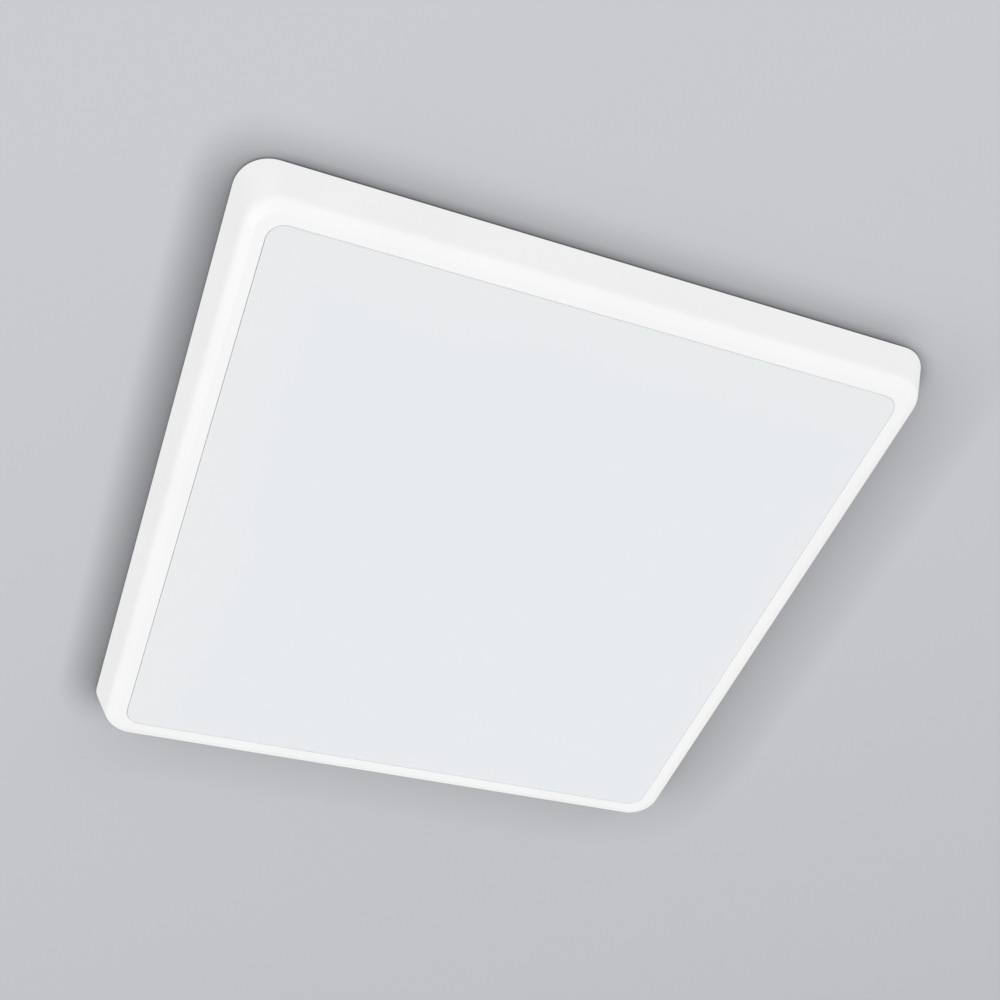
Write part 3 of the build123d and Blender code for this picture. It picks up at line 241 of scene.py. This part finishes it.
made, tree, shader, place = finish("galvanised_sheet_steel", "B9BEC1", 0.42, metallic=1.0)
cells = node(tree, "ShaderNodeTexVoronoi", {"Scale": 1 / (6.0 * mm)}, {"Vector": place})
shade = node(tree, "ShaderNodeValToRGB", links={"Fac": cells.outputs["Color"]})
shade.color_ramp.elements[0].color = linear("A4AAAE")
shade.color_ramp.elements[1].color = linear("CDD1D3")
tree.links.new(shade.outputs["Color"], shader.inputs["Base Color"])
gloss = node(tree, "ShaderNodeMapRange", {"To Min": 0.3, "To Max": 0.55}, {"Value": cells.outputs["Color"]})
tree.links.new(gloss.outputs["Result"], shader.inputs["Roughness"])
grain(tree, shader, place, 0.6, 0.006)
materials["galvanised_steel"] = made

made, tree, shader, place = finish("spring_steel_strip", "8E9094", 0.32, metallic=1.0)
mottle(tree, shader, place, 7.0, "85878C", "999B9E")
grain(tree, shader, place, 0.25, 0.003, stretch=(1, 0.05, 1))
materials["spring_steel"] = made

made, tree, shader, place = finish("bright_zinc_plate", "C6CBD1", 0.27, metallic=1.0)
mottle(tree, shader, place, 1.6, "BCC2C9", "CFD3D7")
rough_patches(tree, shader, place, 1.2, 0.22, 0.38)
materials["zinc_steel"] = made

made, tree, shader, place = finish("mill_finish_aluminium", "CBCDCF", 0.36, metallic=1.0)
mottle(tree, shader, place, 20.0, "C5C7CA", "D0D2D3")
rough_patches(tree, shader, place, 0.8, 0.3, 0.45, stretch=(1, 1, 0.2))
materials["aluminium_angle"] = made

made, tree, shader, place = finish("tinned_brass", "C8BC9A", 0.3, metallic=1.0)
mottle(tree, shader, place, 1.5, "C2B48E", "D2C9AE")
grain(tree, shader, place, 0.2, 0.002)
materials["contact_metal"] = made
print("metals", len(materials))

# %% [markdown]
# ## Soft and electrical finishes
#
# Closed cell foam shows a skin of tiny bubbles, drawn at 0.9 mm. Rubber bushes are matt. Circuit boards
# carry solder mask over copper: the green one shows its traces as slightly lighter lanes, and the white
# one is left plain to throw its light forwards. The light guide is clear acrylic with polished edges.

# %% Foam, rubber, boards, film and guide
made, tree, shader, place = finish("closed_cell_foam", "3A3A3B", 0.9)
cells = node(tree, "ShaderNodeTexVoronoi", {"Scale": 1 / (0.9 * mm)}, {"Vector": place})
pits = node(tree, "ShaderNodeBump", {"Strength": 1.0, "Distance": 0.15 * mm},
            {"Height": cells.outputs["Distance"]})
tree.links.new(pits.outputs["Normal"], shader.inputs["Normal"])
mottle(tree, shader, place, 3.0, "333334", "444445")
materials["foam"] = made

made, tree, shader, place = finish("moulded_grey_rubber", "4A4B4D", 0.62, IOR=1.52)
mottle(tree, shader, place, 2.0, "444547", "525355")
grain(tree, shader, place, 0.35, 0.01)
materials["rubber_grey"] = made

made, tree, shader, place = finish("green_solder_mask", "1D5A38", 0.3, IOR=1.52)
lanes = node(tree, "ShaderNodeTexVoronoi", {"Scale": 1 / (2.5 * mm)}, {"Vector": place},
             distance="CHEBYCHEV", feature="F1")
copper = node(tree, "ShaderNodeValToRGB", links={"Fac": lanes.outputs["Distance"]})
copper.color_ramp.elements[0].position = 0.35
copper.color_ramp.elements[0].color = linear("2C7149")
copper.color_ramp.elements[1].position = 0.42
copper.color_ramp.elements[1].color = linear("184C30")
tree.links.new(copper.outputs["Color"], shader.inputs["Base Color"])
materials["circuit_board"] = made

made, tree, shader, place = finish("white_solder_mask", "EFEFEC", 0.35, IOR=1.52)
mottle(tree, shader, place, 4.0, "EBEBE7", "F2F2F0")
materials["white_board"] = made

made, tree, shader, place = finish("phosphor_silicone", "E8C94A", 0.25, IOR=1.41)
mottle(tree, shader, place, 0.9, "E2BF3C", "EFD669")
materials["led_chip"] = made

made, tree, shader, place = finish("sintered_ferrite", "3B3A3C", 0.55)
mottle(tree, shader, place, 1.2, "333234", "464547")
grain(tree, shader, place, 0.3, 0.012)
materials["ferrite"] = made

made, tree, shader, place = finish("white_reflector_film", "F1F3F3", 0.6)
mottle(tree, shader, place, 50.0, "EFF1F1", "F4F5F5")
grain(tree, shader, place, 0.5, 0.003)
materials["white_film"] = made

made, tree, shader, place = finish("clear_cast_acrylic", "F4F8F8", 0.04, IOR=1.49, Transmission_Weight=1.0)
mottle(tree, shader, place, 90.0, "F2F7F7", "F7FAFA")
materials["clear_acrylic"] = made

# %% [markdown]
# Hook-up leads are copper in PVC. The insulation is drawn off a die, so it is smooth along its length
# with small waves of colour. The earth lead is green with two yellow stripes, one on each flank. The
# lead lies nearly flat, so the stripes are the faces whose normals point most up or down.

# %% Lead insulation
for slot, name, colour, dark, light in (
    ("lead_white", "white_pvc_insulation", "E9E9E6", "E4E4E0", "EEEEEC"),
    ("lead_red", "red_pvc_insulation", "B3302A", "A62A25", "BF3932"),
    ("lead_brown", "brown_pvc_insulation", "6B4430", "603C2A", "774D37"),
    ("lead_blue", "blue_pvc_insulation", "2B62A8", "26599C", "3470B8"),
    ("lead_earth", "green_pvc_insulation", "4C8A34", "437C2E", "579A3C"),
):
    made, tree, shader, place = finish(name, colour, 0.35, IOR=1.54)
    mottle(tree, shader, place, 5.0, dark, light)
    grain(tree, shader, place, 0.8, 0.006)
    materials[slot] = made

green = shader.inputs["Base Color"].links[0].from_socket
facing = node(tree, "ShaderNodeVectorMath", {1: (0.3, 0.2, 0.93)}, operation="DOT_PRODUCT",
              links={0: tree.nodes["Texture Coordinate"].outputs["Normal"]})
flank = node(tree, "ShaderNodeMath", links={0: facing.outputs["Value"]}, operation="ABSOLUTE")
edge = node(tree, "ShaderNodeMapRange", {"From Min": 0.70, "From Max": 0.74},
            {"Value": flank.outputs["Value"]})
# A Mix node keeps its number, vector and colour sockets side by side, so its colours go by their place.
colour_a, colour_b, colour_result = 6, 7, 2
stripe = node(tree, "ShaderNodeMix", {colour_b: linear("D9C533")},
              {0: edge.outputs["Result"], colour_a: green}, data_type="RGBA")
tree.links.new(stripe.outputs[colour_result], shader.inputs["Base Color"])
print("all finishes", len(materials))

# %% [markdown]
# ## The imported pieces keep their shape
#
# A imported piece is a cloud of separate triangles. Merging the doubles and smoothing every edge that
# bends by less than 30 degrees makes a round pin look round while a folded edge stays crisp. Both run
# as a modifier, so the mesh itself is untouched.


# %% Weld and smooth modifier
def smoothing_group():
    """Merge points closer than a micrometre, then smooth faces except over edges past 30 degrees."""
    micrometre = 1e-6
    group = bpy.data.node_groups.new("weld_and_smooth", "GeometryNodeTree")
    group.interface.new_socket("Geometry", in_out="INPUT", socket_type="NodeSocketGeometry")
    group.interface.new_socket("Geometry", in_out="OUTPUT", socket_type="NodeSocketGeometry")
    start = node(group, "NodeGroupInput")
    merged = node(group, "GeometryNodeMergeByDistance", {"Distance": micrometre},
                  {"Geometry": start.outputs[0]})
    smooth = node(group, "GeometryNodeSetShadeSmooth", {"Shade Smooth": True},
                  {"Geometry": merged.outputs["Geometry"]}, domain="FACE")
    angle = node(group, "GeometryNodeInputMeshEdgeAngle")
    gentle = node(group, "FunctionNodeCompare", {1: math.radians(30)},
                  {0: angle.outputs["Unsigned Angle"]}, data_type="FLOAT", operation="LESS_THAN")
    edges = node(group, "GeometryNodeSetShadeSmooth",
                 links={"Geometry": smooth.outputs["Geometry"], "Shade Smooth": gentle.outputs["Result"]},
                 domain="EDGE")
    node(group, "NodeGroupOutput", links={0: edges.outputs["Geometry"]})
    return group


smoothing = smoothing_group()
for name, piece in nodes.items():
    piece.data.materials.clear()
    piece.data.materials.append(materials[slot_of[name]])
    modifier = piece.modifiers.new("weld_and_smooth", "NODES")
    modifier.node_group = smoothing
print("dressed", len(nodes), "packed pieces")

# %% [markdown]
# ## Surfaces from numpy
#
# Every new piece is a grid of points: one direction runs round an outline, the other along a path. The
# grid goes into a mesh as whole arrays. If the enclosed volume comes out negative, the faces point
# inwards, and the grid is turned over.


# %% Grid to mesh
def surface(name, grid, body, slot, wrap=(True, True), caps=(False, False)):
    """A mesh of quads over a grid of points (rows, columns, xyz), closed round rows or columns by wrap
    and closed at its first or last row by a flat cap. Millimetres in, metres out."""
    rows, columns = grid.shape[:2]
    points = grid.reshape(-1, 3) * mm
    index = np.arange(rows * columns).reshape(rows, columns)
    if wrap[0]:
        index = np.vstack([index, index[:1]])
    if wrap[1]:
        index = np.hstack([index, index[:, :1]])
    quads = np.stack([index[:-1, :-1], index[:-1, 1:], index[1:, 1:], index[1:, :-1]], axis=-1)
    faces = quads.reshape(-1, 4).tolist()
    if caps[0]:
        faces.append(np.arange(columns)[::-1].tolist())
    if caps[1]:
        faces.append((np.arange(columns) + (rows - 1) * columns).tolist())
    return solid(name, points, faces, body, slot)


def signed_volume(points, faces):
    """One sixth of the sum of a . (b x c) over the triangles of a fan in each face."""
    fans = np.array([(face[0], face[i], face[i + 1]) for face in faces for i in range(1, len(face) - 1)])
    a, b, c = (points[fans[:, i]] for i in range(3))
    return np.einsum("ij,ij->", a, np.cross(b, c)) / 6


def solid(name, points, faces, body, slot):
    """Puts points and faces in a mesh, facing outwards, with its finish, its slot and its body."""
    if signed_volume(points, faces) < 0:
        faces = [face[::-1] for face in faces]
    mesh = bpy.data.meshes.new(name)
    mesh.from_pydata(points, [], faces)
    mesh.polygons.foreach_set("use_smooth", np.ones(len(faces), bool))
    mesh.materials.append(materials[slot])
    mesh.update()
    made = bpy.data.objects.new(name, mesh)
    bpy.context.scene.collection.objects.link(made)
    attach(made, body)
    return made


# %% [markdown]
# ## The moulded frame
#
# The frame's cross-section is a closed outline in (half width, height): rim, leaning wall, nose, narrow
# land, seat, inner wall. The nose eases out of the wall, turns quickly, runs on as an almost flat slope
# and eases into the land: that quick turn is the line of light that follows the frame's edge. Each corner
# of the outline is rounded with an arc, and a point is held just outside each arc so that flat faces stay
# flat under smooth shading. The outline then goes round a square whose corners keep their centres, so a
# corner's radius shrinks with the half width.


# %% Outlines and square rings
def rounded(points, radii, steps=6, hold=0.05):
    """A closed outline with an arc at each corner: start + r (sin(a) along + (1 - cos(a)) inwards)."""
    points, radii = np.array(points, float), np.array(radii, float)
    back, ahead = np.roll(points, 1, axis=0), np.roll(points, -1, axis=0)
    arrive = points - back
    leave = ahead - points
    arrive /= np.linalg.norm(arrive, axis=1, keepdims=True)
    leave /= np.linalg.norm(leave, axis=1, keepdims=True)
    cross = arrive[:, 0] * leave[:, 1] - arrive[:, 1] * leave[:, 0]
    turn = np.arctan2(np.abs(cross), (arrive * leave).sum(1))
    inward = np.stack([-arrive[:, 1], arrive[:, 0]], 1) * np.sign(cross)[:, None]
    reach = radii * np.tan(turn / 2)
    start = points - arrive * reach[:, None]
    angle = turn[:, None] * np.linspace(0, 1, steps + 1)
    arc = start[:, None] + radii[:, None, None] * (
        np.sin(angle)[..., None] * arrive[:, None] + (1 - np.cos(angle))[..., None] * inward[:, None])
    before = start - arrive * hold
    after = points + leave * (reach + hold)[:, None]
    return np.concatenate([before[:, None], arc, after[:, None]], axis=1).reshape(-1, 2)


def square_rings(half, corner, height, steps=20):
    """Rounded squares, one row each: sign (half - corner) + direction x corner, at its own height."""
    half, corner, height = (np.asarray(value, float)[:, None] for value in (half, corner, height))
    quarters = np.arange(4)[:, None] * math.pi / 2
    angle = (quarters + np.linspace(0, math.pi / 2, steps + 1)).ravel()
    middle = np.repeat(np.arange(4) * math.pi / 2 + math.pi / 4, steps + 1)
    x = np.sign(np.cos(middle)) * (half - corner) + np.cos(angle) * corner
    y = np.sign(np.sin(middle)) * (half - corner) + np.sin(angle) * corner
    return np.stack([x, y, np.broadcast_to(height, x.shape)], axis=-1)


# %% Frame sizes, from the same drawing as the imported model
rim_half, rim_z, front_z = 210.0, -1.0, -28.5
lean = math.radians(18.2)
skin = 2.4 / math.cos(lean)
opening_half, seat_z, land_half = 189.0, -26.7, 193.7
front_radius, rim_radius = 18.5, 20.0
opening_radius, land_radius = 10.7, 11.24


def outer_half(z):
    """Half the outside width at a height, along the leaning wall."""
    return rim_half - (rim_z - z) * math.tan(lean)


def outer_corner(z):
    """The outside corner radius at a height, evenly from the front's to the rim's."""
    return front_radius + (z - front_z) / (rim_z - front_z) * (rim_radius - front_radius)


def frame_corner(half, z):
    """The corner radius of a point of the frame: it loses what the half width loses, down to the
    land, whose radius goes evenly to the opening's."""
    radius = outer_corner(z) - (outer_half(z) - half)
    across = (half - opening_half) / (land_half - opening_half)
    land = opening_radius + across * (land_radius - opening_radius)
    return np.where(half < land_half, land, radius)


# %% Frame shell
nose_tip = np.array([outer_half(front_z), front_z])
wall_end, ease_length, slope_length = 5.6, 3.2, 5.4
ease = lean + math.radians(7.0)
ease_start = nose_tip + wall_end * np.array([math.sin(lean), math.cos(lean)])
ease_end = ease_start - ease_length * np.array([math.sin(ease), math.cos(ease)])
slope_end = nose_tip - np.array([slope_length, 0.0])
section = (  # each corner of the cross-section and the radius that rounds it
    ((rim_half, rim_z), 0.4),
    (ease_start, 14.0),
    (ease_end, 4.5),
    (slope_end, 7.5),
    ((opening_half, front_z), 0.4),
    ((opening_half, seat_z), 0.15),
    ((outer_half(seat_z) - skin, seat_z), 7.0),
    ((rim_half - skin, rim_z), 0.4),
)
half, z = rounded(*zip(*section), steps=10).T
shell = surface("frame_shell", square_rings(half, frame_corner(half, z), z), "lamp_head", "frame_plastic")
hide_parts("front_frame")
nose_width = round(outer_half(front_z) - land_half, 2)
print("frame shell", len(shell.data.polygons), "faces, nose", nose_width, "mm wide")

# %% [markdown]
# The back of the frame is what the fitter sees: a second wall that carries the foam gasket between it and
# the skin, cross ribs that stiffen the two, snap hooks over the back plate's edge and a screw boss in
# each corner. Each is a short outline drawn out or turned, and repeated on the four sides.


# %% Drawn out and turned pieces
def quarter_turns(points):
    """The points and their three copies, a quarter turn apart about Z."""
    x, y, z = np.moveaxis(points, -1, 0)
    return np.stack([np.stack(turned, -1) for turned in ((x, y, z), (-y, x, z), (-x, -y, z), (y, -x, z))])


def drawn_out(name, outline, places, thickness, body, slot):
    """Prisms: an outline in (x, z) drawn out to a thickness round each place in y, on the four sides."""
    outline = np.array(outline, float)
    count = len(outline)
    ends = np.stack([np.broadcast_to(outline, (2, count, 2))[..., 0],
                     np.broadcast_to([[-thickness / 2], [thickness / 2]], (2, count)),
                     np.broadcast_to(outline, (2, count, 2))[..., 1]], axis=-1).reshape(-1, 3)
    copies = ends[None] + np.array([[0, place, 0] for place in places])[:, None]
    points = quarter_turns(copies).reshape(-1, 3) * mm
    ring = np.arange(count)
    sides = np.stack([ring, np.roll(ring, -1), np.roll(ring, -1) + count, ring + count], 1).tolist()
    faces = sides + [ring[::-1].tolist(), (ring + count).tolist()]
    total = len(points) // (2 * count)
    every = [[corner + 2 * count * copy for corner in face] for copy in range(total) for face in faces]
    made = solid(name, points, every, body, slot)
    made.data.polygons.foreach_set("use_smooth", np.zeros(len(every), bool))
    return made


def turned(name, outline, centres, body, slot, steps=32):
    """Closed outlines in (radius, z) turned round upright axes at each centre (x, y)."""
    radius, z = np.array(outline, float).T
    angle = np.linspace(0, 2 * math.pi, steps, endpoint=False)
    ring = np.stack([radius[:, None] * np.cos(angle), radius[:, None] * np.sin(angle),
                     np.broadcast_to(z[:, None], (len(z), steps))], axis=-1)
    index = np.arange(len(z) * steps).reshape(len(z), steps)
    index = np.pad(index, ((0, 1), (0, 1)), mode="wrap")
    quads = np.stack([index[:-1, :-1], index[:-1, 1:], index[1:, 1:], index[1:, :-1]], axis=-1)
    quads = quads.reshape(-1, 4)
    offsets = np.array([[x, y, 0] for x, y in centres], float)
    points = (ring.reshape(1, -1, 3) + offsets[:, None]).reshape(-1, 3) * mm
    every = np.concatenate([quads + copy * len(z) * steps for copy in range(len(centres))])
    return solid(name, points, every.tolist(), body, slot)


def soft_edges(piece, width, segments=2):
    """A small bevel on every edge sharper than 40 degrees, as moulded and pressed pieces have."""
    bevel = piece.modifiers.new("soft_edges", "BEVEL")
    bevel.width = width * mm
    bevel.segments = segments
    bevel.limit_method = "ANGLE"
    bevel.angle_limit = math.radians(40)


# %% Second wall and ribs
wall_half, wall_thick = 202.0, 1.5
wall_low, wall_top = -16.55, -3.0
wall_corner_centre, foot_ease = 190.0, 3.2
half, z = rounded([(wall_half, wall_low), (wall_half, wall_top), (wall_half + wall_thick, wall_top),
                   (wall_half + wall_thick, wall_low)], [0.2] * 4, steps=3, hold=0.02).T
corner = half - wall_corner_centre + foot_ease * (wall_top - z) / (wall_top - wall_low)
guide_wall = surface("frame_guide_wall", square_rings(half, corner, z), "lamp_head", "frame_plastic")


def skin_middle(z):
    """Half width to the middle of the skin, where ribs and hooks grow out of it."""
    return outer_half(z) - skin / 2


rib_root, rib_top, rib_thick = wall_half + 0.2, -4.0, 1.2
rib_places = np.linspace(-176.0, 176.0, 12)
ribs = drawn_out("frame_ribs", [(rib_root, wall_low), (skin_middle(wall_low), wall_low),
                                (skin_middle(rib_top), rib_top), (rib_root, rib_top)],
                 rib_places, rib_thick, "lamp_head", "frame_plastic")

# %% Hooks and bosses
plate_low, plate_top, plate_play = -20.75, -19.95, 0.35
hook_places = (-110.0, 0.0, 110.0)
hook_width, hook_tip, hook_height, hook_play = 12.0, 0.7, 3.4, 0.1
hook_low = plate_top + hook_play
hook_end = outer_half(plate_low) - skin - plate_play - 1.2
hooks = drawn_out("frame_hooks", [(skin_middle(hook_low), hook_low), (hook_end, hook_low),
                                  (hook_end, hook_low + hook_tip),
                                  (skin_middle(hook_low + hook_height), hook_low + hook_height)],
                  hook_places, hook_width, "lamp_head", "frame_plastic")
boss_radius, boss_edge, boss_inset = 2.6, 0.2, 5.0
pilot_radius, pilot_floor, pilot_centre = 1.0, seat_z + 1.0, 0.05
inner_corner = outer_corner(plate_low) - skin
diagonal = (outer_half(plate_low) - skin - inner_corner) * math.sqrt(2) + inner_corner
boss = (diagonal - boss_inset) / math.sqrt(2)
bosses = turned("frame_bosses", [(pilot_radius, plate_low), (boss_radius - boss_edge, plate_low),
                                 (boss_radius, plate_low - boss_edge), (boss_radius, seat_z),
                                 (pilot_centre, seat_z), (pilot_centre, pilot_floor),
                                 (pilot_radius, pilot_floor)],
                [(boss, boss), (-boss, boss), (-boss, -boss), (boss, -boss)], "lamp_head", "frame_plastic")
for piece in (guide_wall, ribs, hooks, bosses):
    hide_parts("front_frame")
soft_edges(ribs, 0.15)
soft_edges(hooks, 0.2)
print("frame ribs", 4 * len(rib_places), "hooks", 4 * len(hook_places), "bosses at",
      round(float(boss), 2), "mm")

# %% [markdown]
# ## The diffuser
#
# The opal sheet is a shallow pan. Its face fills the opening with about 0.2 mm of air all round, and its
# edges lean a little, as a moulded edge has to. It never lies quite in the middle of its opening, so it
# is set 0.08 mm to one side, and the seam that opens there shows darker. Its flange lies behind the
# frame's lip. It is one outline again, from the middle of the face, out round the flange and back to the
# middle of the hollow, closed by a flat cap at each end.

# %% Diffuser
face_z, face_half, flange_half, hollow_half = -28.3, 188.8, 193.4, 187.0
sheet, draft, aside, cap_half = 1.5, 0.2, 0.08, 100.0
section = (
    ((cap_half, face_z), 0.01),
    ((face_half, face_z), 0.4),
    ((face_half + draft, seat_z), 0.1),
    ((flange_half, seat_z), 0.3),
    ((flange_half, seat_z + sheet), 0.3),
    ((hollow_half, seat_z + sheet), 0.3),
    ((hollow_half, face_z + sheet), 0.5),
    ((cap_half, face_z + sheet), 0.01),
)
steps = 5
each = steps + 3  # points that stand for one corner; the first and last corner are cut open for the caps
outline = rounded(*zip(*section), steps=steps)[each:-each]
half, z = np.vstack([section[0][0], outline, section[-1][0]]).T
corner = np.interp(half, [hollow_half, face_half, flange_half], [8.7, 10.5, 12.0])
rings = square_rings(half, corner, z) + np.array([aside, 0.0, 0.0])
diffuser = surface("diffuser_pan", rings, "lamp_head", "opal_sheet",
                   wrap=(False, True), caps=(True, True))
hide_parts("diffuser")
print("diffuser", len(diffuser.data.polygons), "faces")

# %% [markdown]
# ## The ceiling
#
# The light hangs under a pale painted ceiling, which takes the place of the studio floor. It is seen only
# from below: its back is clear, so that the gear on top can be looked at too. It throws no light back and
# blocks none. Its colour darkens gently across the room, a painted falloff of the room's light.
#
# A real ceiling also darkens towards the light, because the light hides part of the room from it. Even
# sky light alone shades all four sides alike, but a room has its windows on one side. So the paint is
# multiplied by three terms of nearness, each an Ambient Occlusion node that looks one way instead of
# straight down: a thin line of contact, the shade at one side, and the wide soft shade at the other two.
# The line of contact fades round the corners, which are where both distances from the middle lines are
# large, so the lesser of them tells how near a corner is.

# %% Ceiling
span = 8.0
ceiling_mesh = bpy.data.meshes.new("ceiling")
above = 0.2 * mm
ceiling_mesh.from_pydata([(-span, -span, above), (-span, span, above), (span, span, above),
                          (span, -span, above)], [], [(0, 1, 2, 3)])
ceiling = bpy.data.objects.new("ceiling", ceiling_mesh)
bpy.context.scene.collection.objects.link(ceiling)
for ray in ("visible_diffuse", "visible_glossy", "visible_transmission", "visible_shadow"):
    setattr(ceiling, ray, False)
made, tree, shader, place = finish("matt_ceiling_paint", "C7C8CB", 0.9)
shader.inputs["Specular IOR Level"].default_value = 0.2
# Painted light falloff: the ceiling's colour goes from lighter to darker across the room.
light_falloff = node(tree, "ShaderNodeVectorMath", {1: (0.6, 0.8, 0.0)}, {0: place}, operation="DOT_PRODUCT")
share = node(tree, "ShaderNodeMapRange", {"From Min": -0.35, "From Max": 0.7},
             {"Value": light_falloff.outputs["Value"]})
tone = node(tree, "ShaderNodeValToRGB", links={"Fac": share.outputs["Result"]})
tone.color_ramp.elements[0].color = linear("C9CBCF")
tone.color_ramp.elements[1].color = linear("BDBFC2")

# %% Shade by nearness
nearness_terms = (  # the way it looks, its reach in mm, its weight along the sides and at the corners
    ((-0.8, 1.43, -0.9), 5.8, 0.52, 0.2),
    ((1.47, 0.25, -0.9), 27.0, 0.96, 0.96),
    ((-2.25, -0.89, -0.9), 68.0, 0.74, 0.74),
)
corner_start, corner_full = 175 * mm, 196 * mm
sides = node(tree, "ShaderNodeVectorMath", links={0: place}, operation="ABSOLUTE")
parts = node(tree, "ShaderNodeSeparateXYZ", links={0: sides.outputs["Vector"]})
lesser = node(tree, "ShaderNodeMath", links={0: parts.outputs["X"], 1: parts.outputs["Y"]},
              operation="MINIMUM")
shaded = tone.outputs["Color"]
for looks, reach, along, at_corners in nearness_terms:
    toward = node(tree, "ShaderNodeCombineXYZ", dict(zip("XYZ", looks)))
    nearness = node(tree, "ShaderNodeAmbientOcclusion", {"Distance": reach * mm},
                    {"Normal": toward.outputs["Vector"]}, samples=16)
    weight = node(tree, "ShaderNodeMapRange",
                  {"From Min": corner_start, "From Max": corner_full, "To Min": along, "To Max": at_corners},
                  {"Value": lesser.outputs["Value"]}, interpolation_type="SMOOTHSTEP")
    depth = node(tree, "ShaderNodeMath", links={0: nearness.outputs["AO"], 1: weight.outputs["Result"]},
                 operation="POWER")
    scaled = node(tree, "ShaderNodeVectorMath", links={0: shaded, "Scale": depth.outputs["Value"]},
                  operation="SCALE")
    shaded = scaled.outputs["Vector"]
tree.links.new(shaded, shader.inputs["Base Color"])

# %% Roller texture and clear back
roller = node(tree, "ShaderNodeTexNoise", {"Scale": 1 / (2.0 * mm), "Detail": 2.0}, {"Vector": place})
bump = node(tree, "ShaderNodeBump", {"Strength": 1.0, "Distance": 0.02 * mm},
            {"Height": roller.outputs["Fac"]})
tree.links.new(bump.outputs["Normal"], shader.inputs["Normal"])
clear = node(tree, "ShaderNodeBsdfTransparent")
side = node(tree, "ShaderNodeNewGeometry")
choose = node(tree, "ShaderNodeMixShader",
              links={0: side.outputs["Backfacing"], 1: shader.outputs["BSDF"], 2: clear.outputs["BSDF"]})
tree.links.new(choose.outputs["Shader"], tree.nodes["Material Output"].inputs["Surface"])
ceiling_mesh.materials.append(made)
print("ceiling shaded by", len(nearness_terms), "terms")

# %% [markdown]
# ## World and lights
#
# An even world gives most of the light, at a strength at which a colour renders about as it is written.
# Behind the light, in gloss and through glass it shows as a plain pale grey, so that the white frame
# stands out from it in every view. Two wide, weak lights give the four walls their small differences: one
# from a window below and to the left, and one low across the room. Seen at a flat angle, the satin
# diffuser would mirror that low one as a white glare, so it only lights and isn't mirrored.

# %% World
world = bpy.data.worlds.new("even_room")
world.use_nodes = True
bpy.context.scene.world = world
tree = world.node_tree
fill = tree.nodes["Background"]
fill.inputs["Color"].default_value = linear("FFFFFF")
fill.inputs["Strength"].default_value = 0.767
seen = node(tree, "ShaderNodeBackground", {"Color": linear("DADBDE"), "Strength": 1.0})
rays = node(tree, "ShaderNodeLightPath")
shows = rays.outputs["Is Camera Ray"]
for kind in ("Is Glossy Ray", "Is Transmission Ray"):
    shows = node(tree, "ShaderNodeMath", links={0: shows, 1: rays.outputs[kind]},
                 operation="MAXIMUM").outputs["Value"]
mixed = node(tree, "ShaderNodeMixShader",
             links={0: shows, 1: fill.outputs["Background"], 2: seen.outputs["Background"]})
tree.links.new(mixed.outputs["Shader"], tree.nodes["World Output"].inputs["Surface"])


# %% Lights
def soft_light(name, travel, strength, spread, mirrored):
    """A distant light whose disc is spread degrees wide, so that its shadows are soft. Where it isn't
    mirrored, it lights the finishes but leaves no glare on them."""
    lamp = bpy.data.lights.new(name, "SUN")
    lamp.energy = strength
    lamp.angle = math.radians(spread)
    made = bpy.data.objects.new(name, lamp)
    made.rotation_euler = Vector(travel).to_track_quat("-Z", "Y").to_euler()
    made.visible_glossy = mirrored
    bpy.context.scene.collection.objects.link(made)


soft_light("window_light", (0.469, -0.256, 0.845), 0.736, 18, mirrored=True)
soft_light("room_light", (-0.361, 0.909, 0.208), 0.574, 30, mirrored=False)
bpy.context.scene.view_settings.view_transform = "Standard"
print("world and two lights set")
